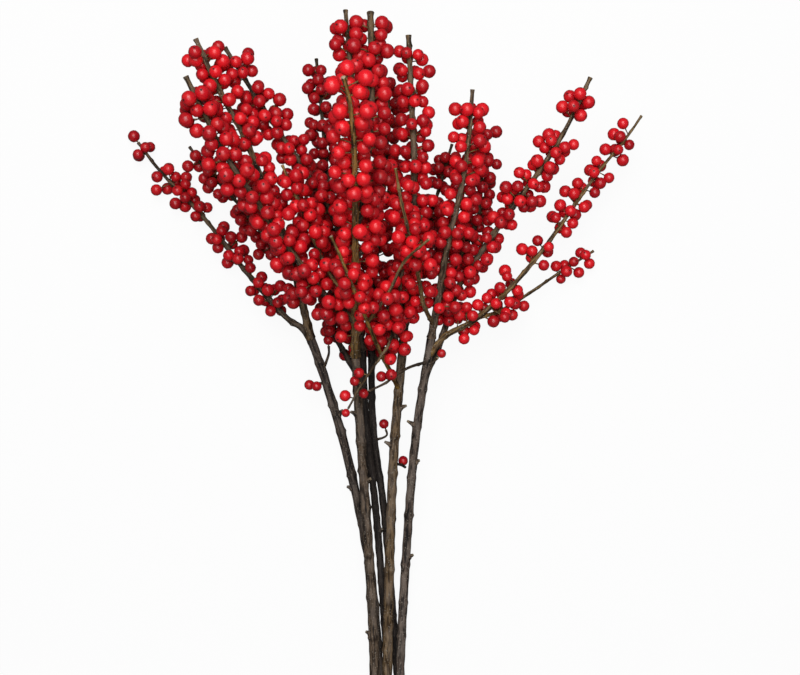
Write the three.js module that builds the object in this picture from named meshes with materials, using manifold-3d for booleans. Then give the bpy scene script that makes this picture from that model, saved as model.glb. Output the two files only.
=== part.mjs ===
// Bunch of six cut winterberry holly stems, leafless and full of berries, lying on a table.
// Millimetres, +Z up. The table top is z = 0, the cut ends point to -Y and the crown to +Y.
// Every stem is bare wood below and carries fruiting branches above. A branch is one body:
// its twig with its berries grown on.

import * as THREE from 'three';
import { mergeVertices } from 'three/addons/utils/BufferGeometryUtils.js';
import Module from 'manifold-3d';

const wasm = await Module();
wasm.setup();

// ---------------------------------------------------------------- driving dimensions
const GAP = 0.4; // air kept between a branch and the wood that it grows on
const STEM_SIDES = 8;
const TWIG_SIDES = 5;
const BEND = 0.3; // a facet of wood leaves the true line by no more than this
const CURVE_STEPS = 10; // curve samples between two route points
const DIRECTION_REACH = 1.5; // a wood's direction is taken over this length to either side
const WELD = 1e-4; // corners closer than this are one
const BERRY_FACET = 1.05; // corner radius of a faceted berry over its true radius
const PRESS = 0.6; // how far the lowest berries flatten on the table
const TABLE = [900, 900, 40]; // block of table cut away from what presses on it
const SNAG_RADIUS = [1, 2.1]; // of a broken side twig, at its end and at its foot
const SNAG_SIDES = 5;
const SNAG_LEAN = 0.5; // slope of a snag up its stem

const GOLDEN = 0.61803398875; // turn from one knot to the next, as a share of its arc
const FIRST_KNOT = 5; // bare length at the root of every branch
const KNOT_SHIFT = 0.5; // span of the chance shift of a knot, as a share of the pitch
const STALK = [0.8, 1.8]; // shortest berry stalk, and the most that chance adds
const LEAN = [0.15, 0.45]; // least slope of a berry up its twig, and the most that chance adds
const LAST_STALK = 0.6; // stalk of the berry that a twig ends in
const LAST_HOLD = 3; // how far back that stalk is rooted in the twig
const SIZE_SPREAD = 0.18; // spread of berry sizes on one branch
const OWN_CLEAR = 0.6; // berries of one branch stay this far apart
const WOOD_CLEAR = 0.5; // berries stay this far from any wood
const OTHER_CLEAR = 0.9; // berries of two branches stay this far apart
const NECK = 0.62; // radius half way down the stalk, over the berry's radius
const TRIES = [ // extra turn in degrees and extra stalk in mm, tried in this order
  [0, 0], [25, 0], [-25, 0], [50, 0], [-50, 0], [0, 3], [35, 3], [-35, 3], [75, 0], [-75, 0],
  [0, 6], [30, 6], [-30, 6],
];
const SEED_STEP = 7.31; // between the seeds of two branches
const DRAWS = { size: 300, lean: 500, stalk: 600, arc: 900 }; // first index of each kind of draw

// Bare stems. radius: at the cut end and at the top. snags: run from the cut end, angle round the
// stem in degrees with 90 straight up, and height of each. route: from the cut end upwards.
const STEMS = [
  { name: 'stem_1', radius: [3.9, 3.3], snags: [[221, 10, 5], [280, 170, 6]],
    route: [[0, -277, 3.6], [-5, -177, 4.6], [-12.5, -106, 8], [-28.5, -29, 14], [-44, 27, 26],
      [-54, 59, 40]] },
  { name: 'stem_2', radius: [4.1, 3.3], snags: [[97, 5, 5], [220, 170, 5], [275, 10, 6]],
    route: [[-6, -267, 12], [-7, -182, 13.5], [-11.5, -95, 24], [-16.5, -10, 50], [-19, 46, 75]] },
  { name: 'stem_3', radius: [3.1, 2.6], snags: [[190, 150, 4]],
    route: [[8.5, -280, 3], [2, -177, 4.5], [-5, -82, 12], [-13, -4, 22], [-15, 50, 36]] },
  { name: 'stem_4', radius: [3.1, 2.6], snags: [],
    route: [[16, -274, 3], [9, -177, 4], [1, -79, 7.5], [-7.5, -12, 14], [-9, 50, 26]] },
  { name: 'stem_5', radius: [4, 3.4], snags: [[253, 15, 8], [283, 165, 7]],
    route: [[3, -275, 12], [3.5, -182, 12.5], [6, -81, 20], [9, -18, 32], [15, 52, 50]] },
  { name: 'stem_6', radius: [3.5, 3.2], snags: [[159, 175, 5], [235, 170, 4], [264, 15, 9]],
    route: [[11, -269, 11], [14, -175, 12.5], [18.5, -96, 18], [23, -34, 30], [28, 8, 42],
      [36, 59, 60]] },
];

// Fruiting branches. on: the wood that it grows on. radius: of its wood, root and tip.
// berry: mean diameter. pitch: between knots. face: the arc round the twig that bears fruit,
// in degrees, with 90 straight up. bare: stretches without fruit, as shares of the length.
// last: diameter of the berry that the twig ends in, where it ends in one.
const BRANCHES = [
  { name: 'spray_1_leader', on: 'stem_1', radius: [3, 1.6], berry: 9, pitch: 11, face: [140, 400],
    bare: [[0, 0.12], [0.96, 1]],
    route: [[-54, 59, 40], [-60, 90, 60], [-67, 123, 80], [-80, 159, 97], [-94, 196, 109],
      [-109, 225, 117], [-126, 262, 124]] },
  { name: 'spray_1_outer_left', on: 'stem_1', radius: [2.4, 1.1], berry: 8.6, pitch: 11,
    face: [30, 290], bare: [[0, 0.16], [0.36, 0.4], [0.57, 0.61], [0.88, 0.93]], last: 9.6,
    route: [[-50, 47, 35], [-60, 65, 34], [-75, 76, 31], [-106, 111, 22], [-138, 151, 13.5],
      [-172, 187, 9], [-190, 210, 8]] },
  { name: 'spray_1_lower_left', on: 'spray_1_leader', radius: [1.7, 1], berry: 8.4, pitch: 12,
    face: [0, 360], bare: [[0, 0.1], [0.9, 1]],
    route: [[-62, 102, 67], [-82, 127, 52], [-106, 157, 45], [-133, 186, 40], [-145, 202, 38]] },
  { name: 'spray_2_leader', on: 'stem_2', radius: [3.1, 1.2], berry: 10.6, pitch: 10,
    face: [135, 405], bare: [[0, 0.14]],
    route: [[-19, 46, 75], [-18, 85, 103], [-17, 125, 133], [-16, 155, 163], [-16, 183, 190],
      [-18, 204, 210], [-21, 215, 222]] },
  { name: 'spray_2_left', on: 'spray_2_leader', radius: [2.4, 1.6], berry: 9.2, pitch: 11,
    face: [140, 400], bare: [[0, 0.1], [0.95, 1]],
    route: [[-19, 70, 92], [-42, 91, 100], [-66, 124, 113], [-89, 158, 127], [-108, 188, 135],
      [-117, 207, 140], [-129, 232, 145]] },
  { name: 'spray_2_left_inner', on: 'spray_2_leader', radius: [1.5, 0.9], berry: 9, pitch: 11,
    face: [0, 360], bare: [[0, 0.1]],
    route: [[-18, 82, 101], [-33, 99, 99], [-43, 117, 99], [-57, 152, 102], [-69, 179, 104]] },
  { name: 'spray_2_top', on: 'spray_2_leader', radius: [2.4, 2.1], berry: 9.4, pitch: 11,
    face: [145, 395], bare: [[0, 0.06], [0.95, 1]],
    route: [[-16, 131, 138], [-11, 151, 142], [-8, 190, 142], [-6, 232, 136], [-7, 279, 128]] },
  { name: 'spray_2_top_left', on: 'spray_2_top', radius: [1.8, 1.4], berry: 9, pitch: 11,
    face: [0, 360], bare: [[0, 0.06], [0.86, 1]],
    route: [[-8, 184, 142], [-17, 217, 140], [-21, 249, 134], [-24, 281, 126]] },
  { name: 'spray_2_right_inner', on: 'spray_2_leader', radius: [1.5, 0.9], berry: 9.2, pitch: 11,
    face: [0, 360], bare: [[0, 0.1]],
    route: [[-17, 112, 123], [-6, 128, 118], [1, 154, 114], [4, 178, 110]] },
  { name: 'twig_2_budded', on: 'spray_2_leader', radius: [1.4, 0.8], berry: 8.8, pitch: 12,
    face: [170, 370], bare: [[0, 0.1], [0.55, 1]],
    route: [[-19, 60, 85], [-7, 73, 100], [6, 91, 122], [16, 110, 136], [32, 124, 144]] },
  { name: 'spray_3_leader', on: 'stem_3', radius: [2.4, 1.4], berry: 8.8, pitch: 11, face: [0, 360],
    bare: [[0, 0.1], [0.95, 1]],
    route: [[-15, 50, 36], [-22, 98, 56], [-34, 143, 72], [-51, 172, 82], [-69, 199, 90],
      [-88, 228, 97], [-109, 261, 104]] },
  { name: 'spray_3_back', on: 'stem_3', radius: [2.2, 1.2], berry: 8.8, pitch: 12, face: [0, 360],
    bare: [[0, 0.16], [0.96, 1]],
    route: [[-14, 22, 28.5], [-27, 44, 32], [-37, 68, 37], [-37, 117, 38], [-41, 170, 34],
      [-46, 224, 27], [-51, 272, 21]] },
  { name: 'spray_3_low', on: 'stem_3', radius: [1.9, 1], berry: 8.8, pitch: 12, face: [0, 360],
    bare: [[0, 0.08]],
    route: [[-15, 34, 32], [-22, 56, 26], [-32, 92, 18], [-50, 138, 11], [-64, 181, 8.5]] },
  { name: 'spray_4_leader', on: 'stem_4', radius: [2.4, 1.2], berry: 8.8, pitch: 12, face: [0, 360],
    bare: [[0, 0.1]],
    route: [[-9, 50, 26], [-7, 95, 34], [-2, 147, 40], [3, 199, 44], [5, 247, 46]] },
  { name: 'spray_4_low', on: 'stem_4', radius: [1.9, 1], berry: 8.8, pitch: 12, face: [0, 360],
    bare: [[0, 0.08]],
    route: [[-8.5, 34, 21.5], [-2, 56, 20], [8, 90, 16], [27, 123, 10.5], [44, 156, 8.5]] },
  { name: 'sprig_4_side', on: 'stem_4', radius: [1, 0.7], berry: 7.2, pitch: 12, face: [60, 120],
    bare: [], last: 7.6,
    route: [[-6.5, -20, 13], [-0.5, -18.2, 17], [3, -15.6, 19], [2.2, -11.8, 20]] },
  { name: 'spray_5_leader', on: 'stem_5', radius: [2.9, 1.7], berry: 8.8, pitch: 11,
    face: [145, 395], bare: [[0, 0.1], [0.95, 1]],
    route: [[15, 52, 50], [18, 86, 64], [22, 136, 78], [23, 181, 90], [21, 226, 98],
      [19, 270, 102]] },
  { name: 'spray_5_back', on: 'spray_5_leader', radius: [1.9, 1], berry: 8.6, pitch: 11,
    face: [0, 360], bare: [[0, 0.08]],
    route: [[18, 88, 64.5], [26, 120, 50], [41, 166, 42], [52, 204, 38]] },
  { name: 'spray_5_inner', on: 'spray_5_leader', radius: [1.5, 0.9], berry: 9, pitch: 11,
    face: [0, 360], bare: [[0, 0.1]],
    route: [[16.5, 68, 57], [13, 92, 82], [18, 120, 96], [28, 144, 103]] },
  { name: 'spray_5_short', on: 'stem_5', radius: [1.4, 0.9], berry: 8.8, pitch: 11, face: [0, 360],
    bare: [[0, 0.2]], route: [[14, 44, 48], [10, 60, 76], [5, 77, 94], [2, 95, 104]] },
  { name: 'twig_5_hanging', on: 'spray_5_short', radius: [1.1, 0.7], berry: 8, pitch: 10,
    face: [150, 210], bare: [[0, 0.5]], last: 6.2,
    route: [[8, 66, 82], [5, 54, 92], [-1, 45, 97], [-14, 26, 94], [-23.5, 9, 88]] },
  { name: 'twig_5_golden', on: 'stem_5', radius: [1.7, 0.9], berry: 8.4, pitch: 15,
    face: [170, 370], bare: [[0, 0.12], [0.5, 0.7]],
    route: [[12, 20, 42], [6, 34, 62], [-3, 53, 88], [-12, 76, 118], [-23, 104, 142],
      [-32, 125, 156]] },
  { name: 'sprig_5_side', on: 'stem_5', radius: [1, 0.8], berry: 8, pitch: 5, face: [250, 290],
    bare: [[0, 0.4]], route: [[9, -37, 29], [14, -38, 26], [17, -40, 23]] },
  { name: 'spray_6_leader', on: 'stem_6', radius: [2.7, 1.3], berry: 8.8, pitch: 12,
    face: [145, 395], bare: [[0, 0.08], [0.32, 0.38], [0.93, 1]],
    route: [[36, 59, 60], [40, 84, 72], [47, 126, 88], [56, 164, 99], [61, 200, 107],
      [63, 230, 112]] },
  { name: 'spray_6_right', on: 'stem_6', radius: [2.5, 1.4], berry: 8.8, pitch: 11,
    face: [0, 360], bare: [[0, 0.14], [0.45, 0.5], [0.81, 0.86], [0.95, 1]],
    route: [[31, 30, 49.5], [44, 58, 45], [57, 98, 50], [75, 125, 57], [95, 154, 63],
      [115, 181, 68], [133, 210, 72], [150, 246, 76]] },
  { name: 'spray_6_outer_right', on: 'stem_6', radius: [2.2, 0.9], berry: 8.6, pitch: 11,
    face: [-20, 110], bare: [[0, 0.1], [0.36, 0.41], [0.5, 0.55], [0.93, 1]],
    route: [[33.5, 45, 55], [46, 60, 61], [68, 72, 56], [95, 96, 49], [123, 129, 44],
      [157, 177, 41], [182, 208, 40], [194, 225, 40]] },
  { name: 'spray_6_low_right', on: 'spray_6_outer_right', radius: [1.4, 0.9], berry: 8.2,
    pitch: 11, face: [0, 360], bare: [[0, 0.1], [0.4, 0.7], [0.95, 1]],
    route: [[70, 73, 55.5], [88, 79, 42], [112, 93, 24], [136, 109, 12], [163, 126, 8]] },
  { name: 'spray_6_inner', on: 'spray_6_leader', radius: [1.6, 0.9], berry: 8.8, pitch: 11,
    face: [140, 400], bare: [[0, 0.15], [0.95, 1]],
    route: [[37.5, 68, 65], [30, 82, 86], [26, 101, 104], [20, 127, 122], [14, 150, 132],
      [10, 172, 138]] },
  { name: 'spray_6_back', on: 'spray_6_leader', radius: [1.7, 1], berry: 8.6, pitch: 11,
    face: [0, 360], bare: [[0, 0.12]],
    route: [[41, 90, 74.5], [55, 114, 62], [70, 145, 47], [74, 177, 41], [73, 216, 38]] },
  { name: 'twig_6_cross', on: 'stem_6', radius: [1.1, 0.8], berry: 8, pitch: 14, face: [150, 210],
    bare: [[0, 0.55]], last: 7.4,
    route: [[33, 41, 54], [19, 37, 68], [9, 31, 76], [2, 26, 79], [-8.5, 21, 80]] },
  { name: 'sprig_6_side', on: 'stem_6', radius: [1.2, 0.8], berry: 8, pitch: 10, face: [0, 360],
    bare: [], last: 6.8, route: [[33, 38, 53], [37.5, 41, 56.5], [40.5, 44, 58.5]] },
  { name: 'sprig_1_side', on: 'stem_1', radius: [1.1, 0.8], berry: 7.8, pitch: 3, face: [80, 100],
    bare: [], last: 8, route: [[-43, 24, 25], [-47, 24.2, 27], [-50.5, 23.8, 28]] },
  { name: 'sprig_1_crotch', on: 'stem_1', radius: [1.2, 0.8], berry: 7.6, pitch: 30,
    face: [60, 120], bare: [], last: 7.6,
    route: [[-46, 33, 29], [-42.5, 41, 33.5], [-40.5, 47, 37], [-40.5, 52.3, 39.5]] },
];

// ---------------------------------------------------------------- small helpers
const toPoint = ([x, y, z]) => new THREE.Vector3(x, y, z);
const radians = THREE.MathUtils.degToRad;
const lerp = THREE.MathUtils.lerp;

// A repeatable draw between 0 and 1.
function draw(seed, index) {
  const value = Math.sin(seed * 12.9898 + index * 78.233) * 43758.5453;
  return value - Math.floor(value);
}

// ---------------------------------------------------------------- wood
// The nearest point to a place on every sample step of a wood's line, with its run.
function feetOf({ line, run }, place) {
  return line.slice(1).map((end, i) => {
    const segment = new THREE.Line3(line[i], end);
    const share = segment.closestPointToPointParameter(place, true);
    return { foot: segment.at(share, new THREE.Vector3()), run: lerp(run[i], run[i + 1], share) };
  });
}

function nearestPoint(wood, place) {
  const feet = feetOf(wood, place).map(({ foot }) => foot);
  return feet.reduce((best, foot) => (
    foot.distanceTo(place) < best.distanceTo(place) ? foot : best
  ));
}

// A piece of wood: a smooth line through its route, with the length run up to each sample.
function makeWood({ name, radius, route }, parent) {
  const points = route.map(toPoint);
  if (parent) points[0].copy(nearestPoint(parent, points[0]));
  const curve = new THREE.CatmullRomCurve3(points, false, 'catmullrom', 0.5);
  const line = curve.getPoints(CURVE_STEPS * (route.length - 1));
  const run = [0];
  for (let i = 1; i < line.length; i += 1) {
    run.push(run[i - 1] + line[i].distanceTo(line[i - 1]));
  }
  return { name, radius, line, run, length: run.at(-1) };
}

// The woods in the order of the table, each branch rooted on the line of what it grows on.
function makeWoods() {
  const woods = STEMS.map((stem) => makeWood(stem));
  BRANCHES.forEach((branch) => {
    const parent = woods.find(({ name }) => name === branch.on);
    woods.push(makeWood(branch, parent));
  });
  return woods;
}

// The point at a distance along the wood, straight on past either end.
function pointAt(wood, distance) {
  let i = wood.run.findIndex((length) => length >= distance);
  if (i < 0) i = wood.run.length - 1;
  if (i === 0) i = 1;
  const share = (distance - wood.run[i - 1]) / (wood.run[i] - wood.run[i - 1]);
  return wood.line[i - 1].clone().lerp(wood.line[i], share);
}

function radiusAt(wood, distance) {
  return lerp(wood.radius[0], wood.radius[1], THREE.MathUtils.clamp(distance / wood.length, 0, 1));
}

// Directions at a distance: along the wood, level across it, and upwards across it.
function frameAt(wood, distance) {
  const before = pointAt(wood, Math.max(0, distance - DIRECTION_REACH));
  const after = pointAt(wood, Math.min(wood.length, distance + DIRECTION_REACH));
  const along = after.sub(before).normalize();
  const level = new THREE.Vector3(-along.y, along.x, 0).normalize();
  return { along, level, up: new THREE.Vector3().crossVectors(along, level) };
}

// ---------------------------------------------------------------- berries
// The distance from a point to the surface of a piece of wood.
function clearOfWood(wood, point) {
  const gaps = feetOf(wood, point).map(({ foot, run }) => (
    foot.distanceTo(point) - radiusAt(wood, run)
  ));
  return Math.min(...gaps);
}

function areClear(one, two) {
  if (one.branch === two.branch) {
    return one.centre.distanceTo(two.centre) >= one.radius + two.radius + OWN_CLEAR;
  }
  const bodies = ({ centre, radius, neck }) => [[centre, radius], [neck, radius * NECK]];
  return bodies(one).every(([place, radius]) => bodies(two).every(([otherPlace, otherRadius]) => (
    place.distanceTo(otherPlace) >= radius + otherRadius + OTHER_CLEAR
  )));
}

function isFree(berry, berries, woods) {
  const { branch, centre, neck, radius } = berry;
  if (!berries.every((other) => areClear(berry, other))) return false;
  return woods.every((wood) => {
    if (clearOfWood(wood, centre) < radius + WOOD_CLEAR) return false;
    return wood.name === branch || clearOfWood(wood, neck) >= radius * NECK + WOOD_CLEAR;
  });
}

// What chance decides at a knot: the berry's radius, its stalk and its slope up the twig.
function drawKnot({ berry }, seed, knot) {
  return {
    radius: (berry / 2) * (1 + SIZE_SPREAD * (draw(seed, knot + DRAWS.size) - 0.5)),
    stalk: STALK[0] + STALK[1] * draw(seed, knot + DRAWS.stalk),
    lean: LEAN[0] + LEAN[1] * draw(seed, knot + DRAWS.lean),
  };
}

// A berry of a wood, with the middle of its stalk. One that would sink below the table is lifted
// until it presses on it.
function makeBerry(wood, root, centre, radius) {
  centre.z = Math.max(centre.z, radius - PRESS);
  return { branch: wood.name, root, centre, radius, neck: root.clone().lerp(centre, 0.5) };
}

// A berry at a distance along its twig, on the side that the angle gives.
function makeSideBerry(wood, distance, angle, { radius, stalk, lean }) {
  const root = pointAt(wood, distance);
  const { along, level, up } = frameAt(wood, distance);
  const out = level.clone().multiplyScalar(Math.cos(angle));
  out.addScaledVector(up, Math.sin(angle)).addScaledVector(along, lean).normalize();
  const reach = radiusAt(wood, distance) + stalk + radius;
  return makeBerry(wood, root, root.clone().addScaledVector(out, reach), radius);
}

// The berry that a twig ends in, straight out past its tip.
function makeLastBerry(wood, radius) {
  const { along } = frameAt(wood, wood.length);
  const reach = radiusAt(wood, wood.length) + LAST_STALK + radius;
  const centre = pointAt(wood, wood.length).addScaledVector(along, reach);
  return makeBerry(wood, pointAt(wood, wood.length - LAST_HOLD), centre, radius);
}

// The berries that twigs end in, then one berry at every knot: the knots climb the twig by the
// pitch and turn by the golden angle inside the fruiting arc, and the first free place at a knot
// takes the berry.
function placeBerries(branches, woods) {
  const woodOf = (branch) => woods.find(({ name }) => name === branch.name);
  const ending = branches.filter(({ last }) => last);
  const berries = ending.map((branch) => makeLastBerry(woodOf(branch), branch.last / 2));
  branches.forEach((branch, order) => {
    const wood = woodOf(branch);
    const seed = order * SEED_STEP + 1;
    const knots = Math.floor((wood.length - FIRST_KNOT) / branch.pitch);
    const [low, high] = branch.face;
    for (let knot = 0; knot < knots; knot += 1) {
      const shift = KNOT_SHIFT * (draw(seed, knot) - 0.5);
      const distance = FIRST_KNOT + (knot + 0.5 + shift) * branch.pitch;
      const share = distance / wood.length;
      if (branch.bare.some(([from, to]) => share >= from && share <= to)) continue;
      const turn = (knot * GOLDEN + draw(seed, DRAWS.arc)) % 1;
      const chance = drawKnot(branch, seed, knot);
      const places = TRIES.map(([extraTurn, extraStalk]) => {
        const angle = radians(low + turn * (high - low) + extraTurn);
        const longer = { ...chance, stalk: chance.stalk + extraStalk };
        return makeSideBerry(wood, distance, angle, longer);
      });
      const berry = places.find((place) => isFree(place, berries, woods));
      if (berry) berries.push(berry);
    }
  });
  return berries;
}

// ---------------------------------------------------------------- solids
function toSolid(geometry) {
  const bare = geometry.clone();
  bare.deleteAttribute('normal');
  bare.deleteAttribute('uv');
  const merged = mergeVertices(bare, WELD);
  const vertProperties = new Float32Array(merged.attributes.position.array);
  const triVerts = new Uint32Array(merged.index.array);
  return new wasm.Manifold(new wasm.Mesh({ numProp: 3, vertProperties, triVerts }));
}

function toGeometry(solid) {
  const { vertProperties, triVerts } = solid.getMesh();
  const geometry = new THREE.BufferGeometry();
  geometry.setAttribute('position', new THREE.BufferAttribute(vertProperties, 3));
  geometry.setIndex(new THREE.BufferAttribute(triVerts, 1));
  geometry.computeVertexNormals();
  return geometry;
}

// The runs along a wood where it needs a ring of corners: as few as its bends allow.
function ringRuns({ line, run }) {
  const rings = [0];
  let from = 0;
  for (let to = 2; to < line.length; to += 1) {
    const chord = new THREE.Line3(line[from], line[to]);
    const isOff = (place) => (
      chord.closestPointToPoint(place, true, new THREE.Vector3()).distanceTo(place) > BEND
    );
    if (line.slice(from + 1, to).some(isOff)) {
      from = to - 1;
      rings.push(run[from]);
    }
  }
  return [...rings, run.at(-1)];
}

// A tapered rod bent along the wood. swell makes it thicker and longer all round. The rod's x
// runs against level, which keeps its faces outwards.
function woodSolid(wood, sides, swell = 0) {
  const rings = ringRuns(wood);
  rings[0] -= swell;
  rings[rings.length - 1] += swell;
  const rod = new THREE.CylinderGeometry(1, 1, 1, sides, rings.length - 1);
  const position = rod.attributes.position;
  const corner = new THREE.Vector3();
  for (let i = 0; i < position.count; i += 1) {
    corner.fromBufferAttribute(position, i);
    const distance = rings[Math.round((corner.y + 0.5) * (rings.length - 1))];
    const { level, up } = frameAt(wood, THREE.MathUtils.clamp(distance, 0, wood.length));
    const radius = radiusAt(wood, distance) + swell;
    const place = pointAt(wood, distance);
    place.addScaledVector(level, -corner.x * radius).addScaledVector(up, corner.z * radius);
    position.setXYZ(i, place.x, place.y, place.z);
  }
  return toSolid(rod);
}

// A faceted berry with corners straight up and down. The corner nearest the twig is drawn out
// to the middle of the twig as its stalk.
function berrySolid({ root, centre, radius }) {
  const ball = new THREE.IcosahedronGeometry(radius * BERRY_FACET, 0);
  ball.rotateX(Math.atan2(2, 1 + Math.sqrt(5)));
  const position = ball.attributes.position;
  const inward = root.clone().sub(centre).normalize();
  const corners = Array.from({ length: position.count }, (_, i) => (
    new THREE.Vector3().fromBufferAttribute(position, i)
  ));
  const nearest = Math.max(...corners.map((corner) => corner.dot(inward)));
  corners.forEach((corner, i) => {
    const isStalk = corner.dot(inward) > nearest - WELD;
    const place = isStalk ? root : corner.clone().add(centre);
    position.setXYZ(i, place.x, place.y, place.z);
  });
  return toSolid(ball);
}

// A snag: the stub of a broken side twig, leaning up the stem.
function snagSolid(wood, [distance, angle, height]) {
  const { along, level, up } = frameAt(wood, distance);
  const out = level.clone().multiplyScalar(Math.cos(radians(angle)));
  out.addScaledVector(up, Math.sin(radians(angle)));
  out.addScaledVector(along, SNAG_LEAN).normalize();
  const reach = radiusAt(wood, distance) + height;
  const stub = new THREE.CylinderGeometry(...SNAG_RADIUS, reach, SNAG_SIDES);
  stub.translate(0, reach / 2, 0);
  stub.applyQuaternion(new THREE.Quaternion().setFromUnitVectors(new THREE.Vector3(0, 1, 0), out));
  const root = pointAt(wood, distance);
  stub.translate(root.x, root.y, root.z);
  return toSolid(stub);
}

// ---------------------------------------------------------------- the bunch
const bark = new THREE.MeshStandardMaterial({ color: 0x5b5048, roughness: 0.85, metalness: 0 });
const fruit = new THREE.MeshStandardMaterial({ color: 0xc2121c, roughness: 0.35, metalness: 0 });

const woods = makeWoods();
const stemWoods = woods.slice(0, STEMS.length);
const branchWoods = woods.slice(STEMS.length);
const berries = placeBerries(BRANCHES, woods);
const table = toSolid(new THREE.BoxGeometry(...TABLE).translate(0, 0, -TABLE[2] / 2));

function makeStem(stem, order) {
  const wood = stemWoods[order];
  const parts = [woodSolid(wood, STEM_SIDES)];
  parts.push(...stem.snags.map((snag) => snagSolid(wood, snag)));
  return parts.reduce((whole, part) => whole.add(part)).subtract(table);
}

// A branch: its wood cut back from what it grows on, with every berry fused to it.
function makeBranch(branch, order) {
  const wood = branchWoods[order];
  const parent = woods.find(({ name }) => name === branch.on);
  const sides = stemWoods.includes(parent) ? STEM_SIDES : TWIG_SIDES;
  const own = berries.filter((berry) => berry.branch === branch.name).map(berrySolid);
  const whole = own.reduce((sum, part) => sum.add(part), woodSolid(wood, TWIG_SIDES));
  return whole.subtract(woodSolid(parent, sides, GAP)).subtract(table);
}

function makeMesh(name, solid, material) {
  const mesh = new THREE.Mesh(toGeometry(solid), material);
  mesh.name = name;
  return mesh;
}

const bunch = new THREE.Group();
bunch.name = 'winterberry_bunch';
STEMS.forEach((stem, i) => bunch.add(makeMesh(stem.name, makeStem(stem, i), bark)));
BRANCHES.forEach((branch, i) => bunch.add(makeMesh(branch.name, makeBranch(branch, i), fruit)));

export default bunch;
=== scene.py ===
"""Winterberry holly bunch: its bark, twigs and berries, built around the packed frame.

Metres, +Z up. The bunch lies on z = 0 with its cut ends to -Y and its crown to +Y. Routes, sizes
and other lengths in the tables and constants are millimetres, where nothing else is said, and are
turned into metres where a mesh or a setting takes them.
"""

import functools
import math

import bpy
import numpy as np
from bpy.props import FloatProperty, FloatVectorProperty, PointerProperty
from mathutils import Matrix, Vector


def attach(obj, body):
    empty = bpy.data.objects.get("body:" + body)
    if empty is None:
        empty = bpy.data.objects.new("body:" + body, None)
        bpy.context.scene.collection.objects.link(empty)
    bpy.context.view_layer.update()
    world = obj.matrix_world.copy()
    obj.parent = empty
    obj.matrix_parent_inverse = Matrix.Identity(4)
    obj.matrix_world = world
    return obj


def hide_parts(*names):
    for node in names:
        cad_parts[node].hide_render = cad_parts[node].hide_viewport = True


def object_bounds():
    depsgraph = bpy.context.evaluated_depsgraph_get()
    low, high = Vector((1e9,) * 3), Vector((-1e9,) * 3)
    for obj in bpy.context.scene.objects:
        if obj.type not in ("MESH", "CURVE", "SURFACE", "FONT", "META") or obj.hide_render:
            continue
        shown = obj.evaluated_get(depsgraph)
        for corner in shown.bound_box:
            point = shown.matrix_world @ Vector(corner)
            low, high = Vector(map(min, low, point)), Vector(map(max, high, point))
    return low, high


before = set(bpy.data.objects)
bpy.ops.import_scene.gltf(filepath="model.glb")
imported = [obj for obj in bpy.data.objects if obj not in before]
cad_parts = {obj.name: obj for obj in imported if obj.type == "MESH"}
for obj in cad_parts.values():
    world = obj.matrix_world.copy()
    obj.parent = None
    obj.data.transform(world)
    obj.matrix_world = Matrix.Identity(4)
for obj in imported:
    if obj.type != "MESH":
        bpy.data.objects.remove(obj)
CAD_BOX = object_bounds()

bl_info = {
    "name": "Winterberry Holly Bunch",
    "version": (1, 0, 0),
    "blender": (4, 5, 0),
    "location": "View3D > Sidebar > Winterberry",
    "description": "Bark, twigs and berries of a bunch of cut winterberry holly stems",
    "category": "Object",
}

# ---------------------------------------------------------------- driving dimensions
MM = 0.001
BODY = "root"
LOWEST, HIGHEST = np.array(CAD_BOX[0]), np.array(CAD_BOX[1])

CURVE_STEPS = 10  # curve samples between two route points
DIRECTION_REACH = 1.5  # a wood's direction is taken over this length to either side
GOLDEN = 0.61803398875  # turn from one knot to the next, as a share of its arc
FIRST_KNOT = 5  # bare length at the root of every branch
LAST_STALK = 0.6  # stalk of the berry that a twig ends in
LAST_HOLD = 3  # how far back that stalk is rooted in the twig
KNOT_SHIFT = 0.5  # span of the chance shift of a knot, as a share of the pitch
SIZE_SPREAD = 0.18  # spread of berry sizes on one branch
PRESS = 0.6  # how far the lowest berries flatten on the table
NECK = 0.62  # radius half way down a faceted stalk, over the berry's radius
FILL_NECK = 0.2  # the same for the finer stalks of the filling berries
TRIES = (  # extra turn in degrees and extra stalk in mm, tried in this order
    (0, 0), (25, 0), (-25, 0), (50, 0), (-50, 0), (0, 3), (35, 3), (-35, 3), (75, 0), (-75, 0),
    (0, 6), (30, 6), (-30, 6),
)
SEED_STEP = 7.31  # between the seeds of two branches
FILL_SEED_STEP = 31  # between the seeds of two rounds of filling
# First index of each kind of draw.
DRAWS = dict(size=300, lean=500, stalk=600, arc=900, shift=50, turn=70, phase=20, bud=40)
SINE = (12.9898, 78.233, 43758.5453)  # of a draw: shares of seed and index, and the wave's height
STEM_SEED, TWIG_SEED = 11, 31  # bark of the first stem and twig, one more for each after it
BERRY_SEED, BERRY_SEED_STEP = 3, 5  # tilt, squash and tone of the first branch's berries, and on
BERRY_DRAWS = 60  # between the first indices of two of these draws
FILL_SHIFT = 0.55  # span of a filling berry's own shift, as a share of the pitch
FILL_TURN = 0.12  # span of a filling berry's own turn, as a share of the arc
FILL_SIZE = 1.05  # mean size of the filling berries over that of the frame's
TINY = 1e-12  # keeps a division by a length off zero
ASKEW = (0.31, 0.17, 0.94)  # a direction that no stalk, snag or berry points in
ALL_ROUND = (0, 360)  # the arc of a branch that bears fruit all round, in degrees

# Clearances in mm to berries of the same branch, to wood, to berries of other branches and to the
# frame's box, with the shortest stalk and least lean up the twig, and the most that chance adds to
# each.
FIRST_BERRIES = dict(own=0.6, wood=0.5, other=0.9, box=-2, stalk=(0.8, 1.8), lean=(0.15, 0.45))
FILL_BERRIES = dict(own=-0.9, wood=0.1, other=-0.5, box=0, stalk=(0.2, 1.1), lean=(0.1, 0.5))

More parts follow.
